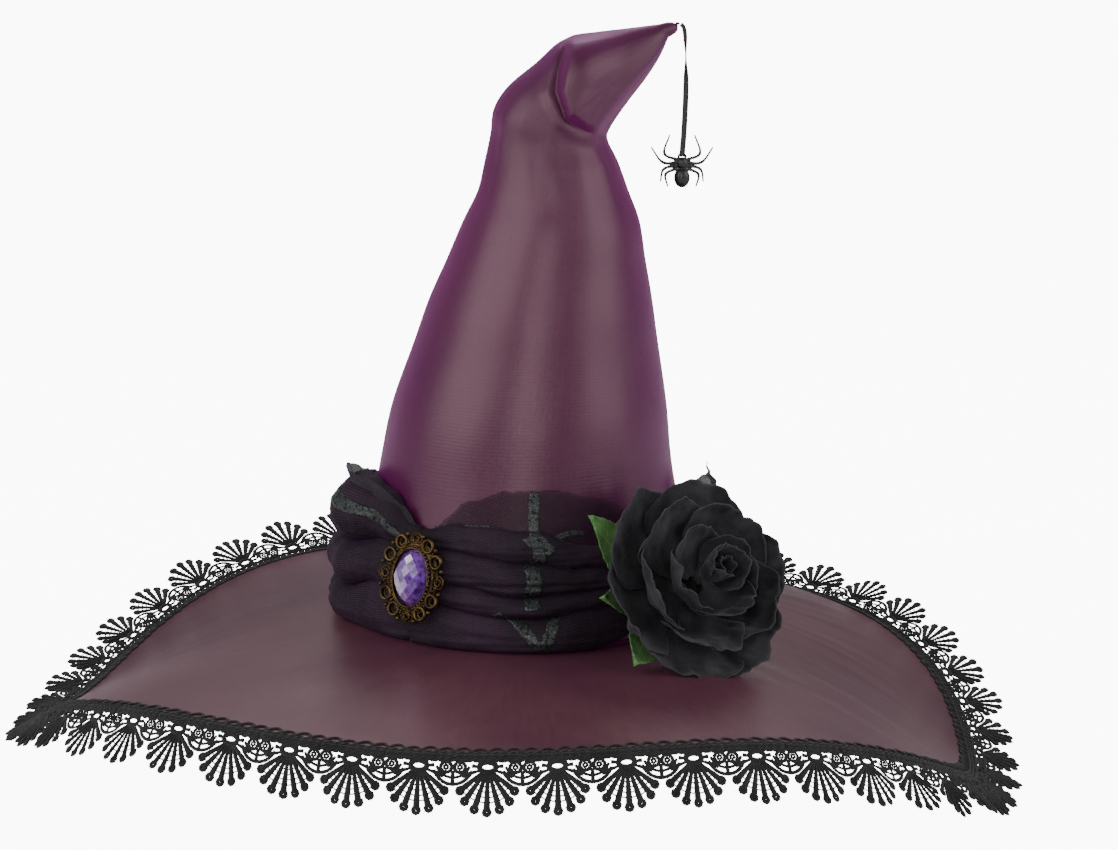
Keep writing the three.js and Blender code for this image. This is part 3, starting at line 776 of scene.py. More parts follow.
brim_steps = (240, len(brim_section) - 1)
brim_mesh = lay_cloth("brim_cover", brim_steps, brim_cover_point, (1.1, 0.34), True)
brim_mesh.flip_normals()
brim_cover = add_piece(
    "brim_cover_satin", brim_mesh, "hat", brim_satin, ["brim_top_cover", "brim_under_cover"]
)

# %% [markdown]
# ## The lace
# A black lace edging is sewn round the rim. It is embroidered thread: a row of small
# arcs on the satin, a twisted braid, then fifty fans. Each fan has an oval ring, seven
# long fingers with a bulb at the end, and thin threads that tie the fingers together.
# Two small rings and a swag fill the space between fans. One fan's strokes are drawn
# flat, made into a mesh once, and laid round the rim fifty times.

# %% Lace finish
lace_thread = woven_finish(
    "black lace thread", rgb(38, 36, 39), rgb(22, 21, 24), 1500, slant=0.8, patch_scale=60,
    crumple=(900, 0.6, 0.35), rough=(0.7, 0.95), thread_bump=0.6, depth=0.1,
    Sheen_Weight=0.15, Sheen_Roughness=0.5, Specular_IOR_Level=0.4,
)

# %% One fan, drawn flat
fan_count = 50
fan_pitch = 2 * math.pi * rim_radius / fan_count


def arc(centre, radii, start, stop, steps):
    """Points on an ellipse between two angles in degrees, clockwise from straight out."""
    points = []
    for k in range(steps + 1):
        turn = math.radians(start + (stop - start) * k / steps)
        points.append((centre[0] + radii[0] * math.sin(turn), centre[1] + radii[1] * math.cos(turn), 0))
    return points


fan_centre = 7.6
fan_squeeze = 0.94
finger_leans = (-51, -35, -17.5, 0, 17.5, 35, 51)
longest_finger, outer_shorter = 21.0, 3.6


def finger(lean, root, reach, thick):
    """A finger of the fan, from the oval ring to the thick end."""
    turn = math.radians(lean)
    points = [
        (fan_squeeze * out * math.sin(turn), fan_centre + out * math.cos(turn), 0)
        for out in np.linspace(root, reach, 6)
    ]
    return points, [thick * share for share in (0.62, 0.72, 0.86, 1.0, 1.12, 1.2)], False


def fan_strokes():
    """Long fingers with bulbs, two short pairs beside them, an oval ring and the ties."""
    strokes = []
    for lean in finger_leans:
        reach = longest_finger - outer_shorter * (abs(lean) / finger_leans[-1]) ** 2
        strokes.append(finger(lean, 3.4, reach, 1.4))
        turn = math.radians(lean)
        bulb = (fan_squeeze * reach * math.sin(turn), fan_centre + reach * math.cos(turn))
        strokes.append((arc(bulb, (1.3, 1.4), 0, 315, 7), 1.2, True))
    for lean in (-73, 73):
        strokes.append(finger(lean, 3.6, 13.5, 1.05))
    for lean in (-97, 97):
        strokes.append(finger(lean, 3.6, 8.0, 0.9))
    strokes.append((arc((0, fan_centre - 0.4), (4.0, 2.5), 0, 330, 11), 1.5, True))
    for reach in (9.0, 11.5, 14.0, 16.5):
        tie = arc((0, fan_centre), (fan_squeeze * reach, reach), -52, 52, 7)
        strokes.append((tie, 0.36, False))
    return strokes


# %% What fills the space between two fans
def link_strokes():
    """Two double rings, two swags over them and a short bar."""
    side = fan_pitch / 2
    strokes = []
    for lean in (-3.3, 3.3):
        strokes.append((arc((side + lean, 7.4), (2.7, 2.6), 0, 324, 9), 0.95, True))
        strokes.append((arc((side + lean, 7.4), (1.0, 1.0), 0, 288, 5), 0.75, True))
    strokes.append((arc((side, 4.4), (10.0, 11.2), -66, 66, 10), 0.95, False))
    strokes.append((arc((side, 4.2), (8.4, 8.2), -70, 70, 9), 0.75, False))
    strokes.append(([(side, 9.0, 0), (side, 12.0, 0), (side, 15.8, 0)], 1.0, False))
    return strokes


# %% The braid and the header's arcs
def header_strokes():
    """A row of small arcs on the satin and three twisted cords along the rim."""
    strokes = []
    arcs = 4
    twists, steps = 4, 16
    step = fan_pitch / arcs
    for k in range(arcs):
        middle = -fan_pitch / 2 + (k + 0.5) * step
        lean = 0.8 * math.sin(2.3 * k)
        strokes.append((arc((middle, -0.6), (-step * 0.5, -6.6 - lean), -90, 90, 8), 0.85, False))
    for row in (-0.6, 1.7, 3.9):
        for phase in (0, math.pi):
            twist = []
            for k in range(steps + 1):
                x = fan_pitch * (k / steps - 0.5)
                turn = 2 * math.pi * twists * k / steps + phase + row
                twist.append((x, row + 0.7 * math.sin(turn), 0.45 * math.cos(turn)))
            strokes.append((twist, 0.85, False))
    return strokes


# %% Laying the lace round the rim
lace_turn = 1.2
lace_lift = 0.15
lace_reach = 32


def lace_point(angle, reach, lift):
    """On the satin up to the rim, then out at the lace's own angle."""
    if reach <= 0:
        return brim_point(angle, rim_radius + reach, lace_lift + lift)
    radius, height, sine, cosine = brim_frame(angle, rim_radius)
    wander = 5 * noise.noise(Vector((3 * math.cos(angle), 3 * math.sin(angle), 1)))
    flutter = noise.noise(Vector((11 * math.cos(angle), 11 * math.sin(angle), 7)))
    curl = 9 * flutter * (reach / lace_reach)
    rise = math.radians(-19 + 53 * math.sin(angle) + wander + curl)
    turn = min(reach, lace_turn)
    start_radius = radius + turn * cosine + lace_lift * sine
    start_height = height - turn * sine + lace_lift * cosine
    length = max(0.0, reach - lace_turn)
    return around(
        angle,
        start_radius + length * math.cos(rise) - lift * math.sin(rise),
        start_height + length * math.sin(rise) + lift * math.cos(rise),
    )


def lay_round(name, unit):
    """Copies a flat unit round the rim, once for each fan."""
    bm = bmesh.new()
    for k in range(fan_count):
        made = len(bm.verts)
        bm.from_mesh(unit)
        bm.verts.ensure_lookup_table()
        middle = 2 * math.pi * k / fan_count
        for vert in bm.verts[made:]:
            x, y, z = vert.co * 1000
            vert.co = lace_point(middle - x / rim_radius, y, z) / 1000
    bmesh.ops.recalc_face_normals(bm, faces=bm.faces)
    return mesh_from(bm, name)


fan_unit = stroke_mesh("fan", fan_strokes() + link_strokes(), sides=0, flat=0.7)
header_unit = stroke_mesh("header", header_strokes(), sides=0, flat=0.8)
lace_pieces = [("lace_fans", fan_unit, ["lace_trim"]), ("lace_header", header_unit, ())]
for name, unit, replaced in lace_pieces:
    add_piece(name, lay_round(name, unit), "hat", lace_thread, replaced)

# %% [markdown]
# ## The sash
# A scarf of dark tulle is wound round the foot of the crown and gathered under the
# brooch and the rose. Tulle is a net so fine that it reads as a veil: where it lies in
# one layer the satin shows through, and where it bunches it is nearly black. Its folds
# are modelled as rolls that run along the band and close up at both gathers. Above the
# rolls the tulle stands up in one open layer: sheer in front, and closer woven where it
# loops out at the left. A loose end hangs free behind the rose.

# %% Tulle finish
def tulle_finish(name, first, second, thin, thick):
    """A net that lets light through between its threads: thin and thick are its cover."""
    material, shader = new_finish(
        name, Sheen_Weight=0.2, Sheen_Roughness=0.4, Sheen_Tint=rgb(140, 80, 150),
        Specular_IOR_Level=0.3,
    )
    tree = material.node_tree
    cloth = coordinates(tree, "UV")
    place = coordinates(tree, "Object")
    colour = patches(tree, place, 25, first, second)
    net = threads(tree, cloth, 1000, 0.6)
    # Painted light: the net's colour is lighter where its threads stand high and darker between them.
    lit = shaded(tree, colour.outputs["Colour"], net.outputs["Height"], 0.55, 1.6)
    tree.links.new(lit, shader.inputs["Base Color"])
    roughness_from(tree, shader, net.outputs["Shade"], 0.6, 0.85)
    veil = remap(tree, net.outputs["Height"], 0.2, 0.8, thin, thick)
    tree.links.new(veil, shader.inputs["Alpha"])
    bumps(tree, shader, [(cloud(tree, place, 220), 0.4, 0.6), (net.outputs["Height"], 0.4, 0.15)])
    return material


tulle_dense = tulle_finish("dark tulle in folds", rgb(52, 33, 52), rgb(26, 17, 26), 0.86, 1.0)
tulle_veil = tulle_finish("dark tulle veil", rgb(48, 33, 48), rgb(33, 23, 33), 0.2, 0.36)
tulle_lacy = tulle_finish("dark tulle end", rgb(60, 54, 62), rgb(34, 30, 36), 0.82, 1.0)


# %% Rolls of cloth
def between(stops, angle):
    """The values at an angle, eased between the stops (angle, values) on each side of it."""
    for (start, first), (stop, last) in zip(stops, stops[1:]):
        if angle <= stop:
            share = ease((angle - start) / (stop - start))
            return [a + (b - a) * share for a, b in zip(first, last)]
    return stops[-1][1]


def rolled_cloth(edges, bulges, base=1.2, seed=0):
    """A function that places gathered tulle: between two edges the cloth bows out in a roll."""
    first, last = edges[0][0], edges[-1][0]
    count = len(bulges[0][1])

    def wander(angle, edge):
        return 1.5 * noise.noise(Vector((angle / 13, 3.7 * edge + seed, 0)))

    def place(u, v):
        angle = first + (last - first) * u
        heights, rolls = between(edges, angle), between(bulges, angle)
        roll = min(count - 1, int(v * count + 1e-9))
        across = math.pi * (v * count - roll)
        low = heights[roll] + wander(angle, roll) * (roll > 0)
        high = heights[roll + 1] + wander(angle, roll + 1)
        height = low + (high - low) * (1 - math.cos(across)) / 2
        swell = 1 + 0.35 * noise.noise(Vector((angle / 17, roll * 5 + seed, 4)))
        pleat = noise.noise(Vector((angle / 26, height / 2.3, seed)))
        crumple = noise.noise(Vector((angle / 7, height / 4.5, seed + 8)))
        stand = rolls[roll] * swell * math.sin(across) ** 0.8 + 1.0 * pleat + 0.7 * crumple
        clear = base + 1.6 * ease(height / 70)
        station = station_at(max(0, height))
        return crown_point(math.radians(angle), station, -max(clear, clear + stand))

    return place


def veil_cloth(edges, stand, seed=0):
    """A function that places one open layer of tulle between its lower and upper edge."""
    first, last = edges[0][0], edges[-1][0]

    def place(u, v):
        angle = first + (last - first) * u
        low, high = between(edges, angle)
        ragged = 1.6 * noise.noise(Vector((angle / 3.1, seed, 9))) * v
        height = low + (high - low) * v + ragged
        wave = noise.noise(Vector((angle / 9, height / 16, seed)))
        off = between(stand, angle)[0] * (0.5 + 0.5 * v) + 0.9 * wave
        return crown_point(math.radians(angle), station_at(height), -max(2.4, 2.6 + off))

    return place


# %% The front of the sash
front_edges = [
    (232, [0.3, 22, 32, 46, 57]), (246, [0.3, 20, 31, 48, 62]), (272, [0.3, 17, 28, 43.5, 60]),
    (290, [0.3, 20, 30, 40, 52]), (312, [8, 25, 31, 37, 44]),
]
front_bulges = [
    (232, [3.5, 3, 3.5, 3]), (246, [5, 6, 6.5, 4.5]), (272, [7, 7.5, 7, 5]), (290, [6.5, 6, 5.5, 5]),
    (312, [3.5, 3, 3, 3]),
]
front_veil_edges = [
    (236, [44, 60]), (250, [50, 77]), (262, [52, 87]), (280, [50, 88]), (296, [44, 79]),
    (312, [38, 66]),
]
front_veil_stand = [(236, [0.4]), (274, [0.6]), (312, [0.4])]
folded_thick, veil_thick = 0.25, 0.2


def add_tulle(name, steps, place, cloth_size, finish, thick, replaced=()):
    """A layer of tulle on the hat that is thickened outwards."""
    mesh = lay_cloth(name, steps, place, cloth_size)
    piece = add_piece(name, mesh, "hat", finish, replaced)
    thicken(piece, thick, 1)
    return piece


front_place = rolled_cloth(front_edges, front_bulges, seed=1)
sash_front = add_tulle(
    "sash_front_folds", (160, 96), front_place, (0.15, 0.11), tulle_dense, folded_thick, ["sash_front"]
)
front_veil_place = veil_cloth(front_veil_edges, front_veil_stand, 2)
front_veil = add_tulle(
    "sash_front_veil", (120, 30), front_veil_place, (0.15, 0.04), tulle_veil, veil_thick
)

# %% The sides and back of the sash
back_edges = [
    (-46, [14, 26, 36, 48]), (-20, [8, 24, 40, 54]), (60, [3, 19, 37, 55]),
    (150, [1, 20, 40, 60]), (180, [0.6, 19, 41, 73]), (196, [0.6, 19, 41, 77]),
    (214, [0.3, 25, 48, 73]), (228, [0.3, 31, 46, 58]), (238, [6, 30, 42, 52]),
]
back_bulges = [
    (-46, [4, 4, 3]), (-20, [6, 6, 5]), (60, [6, 7, 6]), (150, [7, 8, 8]), (180, [12, 16, 20]),
    (196, [12, 17, 22]), (214, [7, 9, 12]), (228, [4, 4, 4]), (238, [2, 2, 2]),
]
back_place = rolled_cloth(back_edges, back_bulges, seed=5)
sash_back = add_tulle(
    "sash_back_folds", (330, 72), back_place, (0.49, 0.1), tulle_dense, folded_thick, ["sash_back"]
)
loop_edges = [
    (168, [52, 70]), (182, [58, 82]), (197, [60, 86]), (210, [56, 82]), (222, [48, 68]),
    (230, [44, 58]),
]
loop_stand = [(168, [6]), (182, [16]), (197, [19]), (210, [12]), (222, [4]), (230, [0.5])]
loop_place = veil_cloth(loop_edges, loop_stand, 6)
side_veil = add_tulle("sash_side_veil", (90, 24), loop_place, (0.1, 0.03), tulle_lacy, veil_thick)


# %% The loose end behind the rose
def tail_point(u, v):
    """The end stands off the crown behind the rose, and crumples as it hangs free."""
    wave = 2.6 * math.sin(9 * u + 3 * v) + 2.2 * noise.noise(Vector((u * 5, v * 5, 2)))
    angle = math.radians(-9 + 23 * u + 2 * noise.noise(Vector((v * 5, u * 2, 5))))
    height = 49 + 20 * v + 4 * u + 2.0 * noise.noise(Vector((u * 7, v * 3, 6)))
    return crown_point(angle, station_at(height), -(10 + 14 * u + wave * (0.4 + 0.6 * u)))


sash_tail = add_tulle(
    "sash_loose_end", (60, 36), tail_point, (0.045, 0.03), tulle_lacy, folded_thick, ["sash_tail"]
)

# %% How the tulle is cut
cut_lengths = [
    (sash_front, 0.15), (front_veil, 0.13), (sash_back, 0.49), (side_veil, 0.1), (sash_tail, 0.04),
]
for piece, length in cut_lengths:
    width = round(cloth_area(piece) / length, 3)
    print(piece.name, "cut:", length, "x", width, "m")

# %% [markdown]
# ## Glitter on the tulle
# The tulle is printed with glitter: one upright band at the front with broken branches,
# like a web or a twig, and a line along the rolled edge at the left. Thin strips follow
# the folds they are printed on, and their finish sparkles because each small cell has
# its own roughness and brightness.

# %% Glitter finish
def glitter_finish():
    """Flakes: a few bright metal cells among dark ones, with a ragged printed edge."""
    material, shader = new_finish("silver black glitter", Specular_IOR_Level=0.7)
    tree = material.node_tree
    place = coordinates(tree, "Object")
    cells = add_node(tree, "ShaderNodeTexVoronoi", {"Vector": place, "Scale": 2600.0})
    parts = add_node(tree, "ShaderNodeSeparateColor", {0: cells.outputs["Color"]})
    spark = remap(tree, parts.outputs[0], 0.84, 1.0)
    flakes = mix_colours(tree, spark, rgb(24, 30, 29), rgb(120, 134, 129))
    tree.links.new(flakes, shader.inputs["Base Color"])
    tree.links.new(spark, shader.inputs["Metallic"])
    roughness_from(tree, shader, parts.outputs[1], 0.2, 0.7)
    tree.links.new(remap(tree, cloud(tree, place, 420), 0.36, 0.46), shader.inputs["Alpha"])
    bumps(tree, shader, [(parts.outputs[2], 0.6, 0.2)])
    return material


glitter = glitter_finish()


# %% Glitter strips
cloth_tall = 60


def strip_mesh(name, surface, span, line, width, steps=30, lift=0.5):
    """A strip along a line of points (angle, v) of a cloth, laid just over it."""
    first, last = span
    route = [Vector((angle, v * cloth_tall, 0)) for angle, v in line]

    def place(s, t):
        spot = smooth_line(route, s)
        ahead, behind = smooth_line(route, min(1, s + 0.02)), smooth_line(route, max(0, s - 0.02))
        run = (ahead - behind).normalized()
        ragged = 1 + 0.3 * noise.noise(Vector((spot.x, spot.y, 3)))
        spot += Vector((-run.y, run.x, 0)) * (t - 0.5) * width * ragged
        point = surface((spot.x - first) / (last - first), min(1, max(0, spot.y / cloth_tall)))
        out = Vector((point.x, point.y, 0)).normalized()
        return point + out * lift

    return lay_cloth(name, (steps, 6), place, (0.05, 0.006))


front_span, veil_span, back_span = (232, 312), (236, 312), (-46, 238)
glitter_strips = [
    (front_veil_place, veil_span, [(273.4, 0.99), (273.2, 0.6), (273, 0.1)], 3.8),
    (front_veil_place, veil_span, [(242, 0.45), (252, 0.42), (262, 0.2)], 2.2),
    (front_veil_place, veil_span, [(279, 0.1), (285, 0.26), (291, 0.36)], 3.2),
    (front_place, front_span, [(273, 0.995), (275, 0.93), (279, 0.87)], 4.0),
    (front_place, front_span, [(271, 0.95), (275, 0.86), (273, 0.74)], 4.4),
    (front_place, front_span, [(281, 0.8), (285, 0.76)], 3.0),
    (front_place, front_span, [(272, 0.72), (273, 0.62), (271.5, 0.54)], 5.0),
    (front_place, front_span, [(272, 0.47), (272.5, 0.38)], 5.0),
    (front_place, front_span, [(261, 0.33), (268, 0.2), (275, 0.06)], 3.6),
    (front_place, front_span, [(275, 0.06), (278.5, 0.18), (282, 0.31)], 3.6),
    (back_place, back_span, [(184, 0.9), (198, 0.86), (212, 0.84), (226, 0.8)], 3.0),
]
for number, (surface, span, line, width) in enumerate(glitter_strips, 1):
    mesh = strip_mesh("glitter", surface, span, line, width)
    strip = add_piece(f"glitter_line_{number}", mesh, "hat", glitter, ())
    thicken(strip, 0.12, 1)

# %% [markdown]
# ## The brooch
# An oval brooch in aged bronze pins the sash. A faceted violet stone sits in a beaded
# bezel. Round it are twelve open loops: eight plain rings with deep walls, and four
# pointed arches of fine beads at the top, the bottom and the sides. A small ball sits
# between each pair of loops. Everything is made lying flat, then turned to face out.

# %% Where the brooch sits
brooch_facing, brooch_tilt, brooch_height = 233, 12, 35


def facing_out(azimuth, tilt, centre):
    """Turns pieces that face up to face out from the crown, with their top kept up."""
    stand_up = Matrix.Rotation(math.radians(90 - tilt), 4, "X")
    turned = Matrix.Rotation(math.radians(azimuth + 90), 4, "Z") @ stand_up
    return Matrix.Translation(Vector(centre) / 1000) @ turned


def off_the_wall(angle, height, stand):
    """A point that stands off the crown's wall at an angle in degrees and a height."""
    wall = crown_point(math.radians(angle), station_at(height), 0)
    return around(math.radians(angle), math.hypot(wall.x, wall.y) + stand, height)


brooch_wall = crown_point(math.radians(brooch_facing), station_at(brooch_height), -6)
brooch_radius = math.hypot(brooch_wall.x, brooch_wall.y) + 3.2
brooch_place = facing_out(
    brooch_facing, brooch_tilt, around(math.radians(brooch_facing), brooch_radius, brooch_height)
)

# %% Bronze finish
def bronze_finish():
    """Aged bronze: dark brown in the hollows, bright gold where it is rubbed."""
    material, shader = new_finish("aged bronze", Specular_IOR_Level=0.6)
    tree = material.node_tree
    place = coordinates(tree, "Object")
    colour = patches(tree, place, 260, rgb(128, 104, 66), rgb(58, 46, 29))
    grime = cloud(tree, place, 700, 4.0)
    lit = shaded(tree, colour.outputs["Colour"], grime, 0.4, 1.5)
    tree.links.new(lit, shader.inputs["Base Color"])
    metal = remap(tree, colour.outputs["Amount"], low=1.0, high=0.75)
    tree.links.new(metal, shader.inputs["Metallic"])
    roughness_from(tree, shader, grime, 0.2, 0.55)
    bumps(tree, shader, [(grime, 0.35, 0.15)])
    return material


bronze = bronze_finish()


# %% Rings, beads and ropes
def spun_ring(bm, centre, radius, wall, low, high):
    """A ring with upright walls and softly rounded rims, spun from its section."""
    squared = 1.12
    made = bmesh.ops.create_circle(bm, segments=8, radius=1, cap_ends=False)["verts"]
    middle, tall = (low + high) / 2, (high - low) / 2
    for vert in made:
        across, up = vert.co.x, vert.co.y
        across = math.copysign(min(1, abs(across) * squared), across) if across else 0
        up = math.copysign(min(1, abs(up) * squared), up) if up else 0
        vert.co = Vector((centre[0] + radius + across * wall, centre[1], middle + up * tall)) / 1000
    edges = list({edge for vert in made for edge in vert.link_edges})
    bmesh.ops.spin(
        bm, geom=made + edges, cent=Vector((*centre, 0)) / 1000, axis=(0, 0, 1),
        angle=2 * math.pi, steps=20, use_merge=True,
    )


def bead(bm, point, size, subdivisions=2):
    place = Matrix.Translation(Vector(point) / 1000)
    bmesh.ops.create_icosphere(bm, subdivisions=subdivisions, radius=size / 1000, matrix=place)


def bead_line(bm, points, size):
    for point in points:
        bead(bm, point, size, 1)


# %% The setting
setting_half_width, setting_half_height = 21.5, 24.5
loop_count = 12


def on_oval(half_width, half_height, turn):
    """A point at a turn round an oval, in millimetres."""
    return (half_width * math.cos(turn), half_height * math.sin(turn))


def arch_line(turn, steps=13):
    """A pointed arch that stands on the bezel and reaches the brooch's edge."""
    points = []
    for k in range(steps):
        share = k / (steps - 1)
        side = 1 - abs(2 * share - 1)
        lean = turn + math.radians(20) * (2 * share - 1) * (1 - 0.55 * side**1.5)
        reach = 0.66 + 0.3 * side**0.75
        edge = on_oval(setting_half_width * reach, setting_half_height * reach, lean)
        points.append((*edge, 3.8 + 0.5 * side))
    return points


def make_setting():
    """Loops round the stone, balls between them, two beaded ovals and three wires."""
    bm = bmesh.new()
    for k in range(loop_count):
        turn = 2 * math.pi * k / loop_count
        centre = on_oval(17.3, 20.3, turn)
        if k % 3:
            spun_ring(bm, centre, 3.3, 0.75, 1.3, 4.3)
            spun_ring(bm, centre, 2.2, 0.45, 1.3, 2.4)
        else:
            bead_line(bm, arch_line(turn), 0.62)
            spun_ring(bm, centre, 1.9, 0.5, 1.3, 3.2)
            spun_ring(bm, (0.98 * centre[0], 0.98 * centre[1]), 3.5, 0.4, 1.3, 2.6)
        gap = turn + math.pi / loop_count
        bead(bm, (*on_oval(19.9, 22.9, gap), 3.3), 1.15)
        bead(bm, (*on_oval(15.4, 18.6, gap), 3.0), 0.9)
    bead_line(bm, oval(12.5, 16.5, 46, 3.9), 0.85)
    bead_line(bm, oval(14.4, 18.2, 60, 3.0, 0.05), 0.5)
    setting = mesh_from(bm, "setting")
    wires = [
        (oval(11.5, 15.5, 40, 4.2), 0.45, True),
        (oval(13.5, 17.4, 40, 2.2), 0.9, True),
        (oval(16.0, 19.6, 40, 1.8), 0.5, True),
    ]
    bm = bmesh.new()
    bm.from_mesh(setting)
    bm.from_mesh(stroke_mesh("wires", wires, sides=1))
    bmesh.ops.recalc_face_normals(bm, faces=bm.faces)
    for face in bm.faces:
        face.smooth = True
    bmesh.ops.transform(bm, matrix=brooch_place, verts=bm.verts)
    return mesh_from(bm, "brooch_setting")


def finish_solid(node, finish):
    """Gives a CAD solid that stays as it is one of the finishes."""
    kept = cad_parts[node].data.materials
    kept.clear()
    kept.append(finish)
    print(node, "keeps its solid, in", finish.name)


add_piece("brooch_filigree", make_setting(), "hat", bronze, ["brooch_setting"])
finish_solid("brooch_backplate", bronze)

# %% [markdown]
# ## The stone
# The stone is an oval of violet glass. Its top is cut like a checkerboard: a net of
# diamond facets over a low dome. A square grid pressed into an oval, set on its corner
# and left with flat faces gives just that cut.

# %% Stone finish
def stone_finish():
    """Clear violet glass that is darker in some places than in others."""
    material, shader = new_finish(
        "violet glass", Metallic=0.0, Transmission_Weight=0.45, IOR=1.55, Roughness=0.02,
        Specular_IOR_Level=0.7, Coat_Weight=0.3, Coat_Roughness=0.02,
    )
    tree = material.node_tree
    place = coordinates(tree, "Object")
    colour = patches(tree, place, 330, rgb(178, 96, 240), rgb(74, 26, 120))
    tree.links.new(colour.outputs["Colour"], shader.inputs["Base Color"])
    return material


# %% The cut stone
stone_half_width, stone_half_height = 11, 15
stone_seat = 0.0013


def stone_point(x, y, base, rise):
    """A point of a square pressed into an oval dome, with the square's corner up."""
    round_x, round_y = x * math.sqrt(1 - y * y / 2), y * math.sqrt(1 - x * x / 2)
    across, up = (round_x - round_y) / math.sqrt(2), (round_x + round_y) / math.sqrt(2)
    dome = math.sqrt(max(0, 1 - across * across - up * up))
    return Vector((stone_half_width * across, stone_half_height * up, base + rise * dome)) / 1000


def make_stone():
    """A domed face and a flatter back, joined along their rim."""
    bm = bmesh.new()
    for base, rise in ((1.0, 6.6), (1.0, -0.9)):
        made = bmesh.ops.create_grid(bm, x_segments=6, y_segments=6, size=1)["verts"]
        for vert in made:
            vert.co = stone_point(vert.co.x, vert.co.y, base, rise)
    bmesh.ops.translate(bm, verts=bm.verts, vec=(0, 0, stone_seat))
    bmesh.ops.remove_doubles(bm, verts=bm.verts, dist=1e-5)
    bmesh.ops.recalc_face_normals(bm, faces=bm.faces)
    bmesh.ops.transform(bm, matrix=brooch_place, verts=bm.verts)
    return mesh_from(bm, "stone")


add_piece("brooch_stone", make_stone(), "hat", stone_finish(), ["brooch_gem"])

# %% [markdown]
# ## The rose
# The rose is cut from stiff black cloth, pressed over a hot iron so that each petal cups
# and its edge rolls back. Three rings of petals wind round a bud of small folded petals.
# A petal is a grid that climbs an arch from the rose's base, widens, rounds off at the
# top and ruffles towards its edge. The cut edges fray and catch the light, so the finish
# is paler there: a pale line painted for the fraying and as a painted highlight.

# %% Petal finish
petal_cut = 0.04


def petal_finish():
    """Black cloth that pales in a narrow line along the petal's side and top edges, as painted
    highlight and fraying.
    """
    material, shader = new_finish(
        "black rose cloth", Sheen_Weight=0.25, Sheen_Roughness=0.5, Sheen_Tint=rgb(170, 168, 175),
        Specular_IOR_Level=0.25,
    )
    tree = material.node_tree
    cloth = coordinates(tree, "UV")
    place = coordinates(tree, "Object")
    colour = patches(tree, place, 60, rgb(66, 64, 68), rgb(28, 26, 29))
    weave = threads(tree, cloth, 2200)
    lit = shaded(tree, colour.outputs["Colour"], weave.outputs["Shade"], 0.75, 1.3)
    parts = add_node(tree, "ShaderNodeSeparateXYZ", {0: cloth})
    side = maths(tree, "ABSOLUTE", maths(tree, "SUBTRACT", parts.outputs["X"], petal_cut / 2))
    rim = maths(tree, "MAXIMUM", side, maths(tree, "SUBTRACT", parts.outputs["Y"], petal_cut / 2))
    fray_and_highlight_rim = maths(tree, "ADD", rim, maths(tree, "MULTIPLY", cloud(tree, place, 900), 0.0012))
    edge = remap(tree, fray_and_highlight_rim, 0.0198, 0.0210)
    # Painted highlight: the pale edge colour stands for the light the cut edge catches, and for its
    # fraying.
    tree.links.new(mix_colours(tree, edge, lit, rgb(74, 72, 76)), shader.inputs["Base Color"])
    roughness_from(tree, shader, weave.outputs["Shade"], 0.75, 0.95)
    dents, creases = cloud(tree, place, 120), cloud(tree, place, 420)
    layers = [(dents, 0.5, 0.9), (creases, 0.4, 0.3), (weave.outputs["Height"], 0.3, 0.05)]
    bumps(tree, shader, layers)
    return material


petal_cloth = petal_finish()
rose_centre = off_the_wall(-46.5, 27, 26)
rose_place = facing_out(-55, 32, rose_centre)


# %% One petal
def arch_at(arch, share):
    """A point [radius, height] on a bent line from base to edge, and its outward normal."""
    base, bend, edge = (Vector(point) for point in arch)
    point = base * (1 - share) ** 2 + bend * 2 * share * (1 - share) + edge * share * share
    run = ((bend - base) * (1 - share) + (edge - bend) * share).normalized()
    return point, Vector((-run.y, run.x))


def petal_mesh(name, arch, turn, half_span, seed, roll=4.0, ruffle=2.2, steps=(30, 24)):
    """A cupped petal with a rolled, ruffled and ragged edge, no two alike."""
    grow = 1 + 0.22 * noise.noise(Vector((seed * 2.3, 7, 1)))
    skew = 0.35 * noise.noise(Vector((seed * 1.9, 3, 8)))

    def place(u, v):
        across = 2 * u - 1
        rounded = 1 - 0.24 * abs(across + 0.2 * skew) ** 2.4
        outline = rounded - 0.05 * math.exp(-(((across - skew) * 4) ** 2))
        broad_rag = noise.noise(Vector((u * 4.5, seed, 0)))
        fine_rag = noise.noise(Vector((u * 15, seed, 3)))
        ragged = 0.09 * broad_rag + 0.035 * fine_rag
        share = v * (outline + ragged) * (1 + (grow - 1) * v)
        widen = 0.6 + 0.4 * math.sin(math.pi * min(1, share * 0.9)) ** 0.8
        angle = math.radians(turn + 10 * skew * v) + math.radians(half_span) * across * widen
        flat, normal = arch_at(arch, share)
        wave = noise.noise(Vector((across * 1.7, v * 1.4, seed * 3.1)))
        ripple = noise.noise(Vector((across * 4.6, v * 1.6, seed * 1.7)))
        back = -roll * ease((share - 0.68) / 0.32) * (0.3 + 1.5 * abs(wave + 0.3))
        lift = 1.5 * across + ruffle * 1.5 * wave * v + 2.4 * ripple * v * v + back
        spot = flat + normal * lift
        return Vector((spot.x * math.cos(angle), spot.x * math.sin(angle), max(0.6, spot.y)))

    mesh = lay_cloth(name, steps, place, (petal_cut, petal_cut))
    mesh.transform(rose_place)
    return mesh


# %% Three rings of petals
petal_thick = 0.45
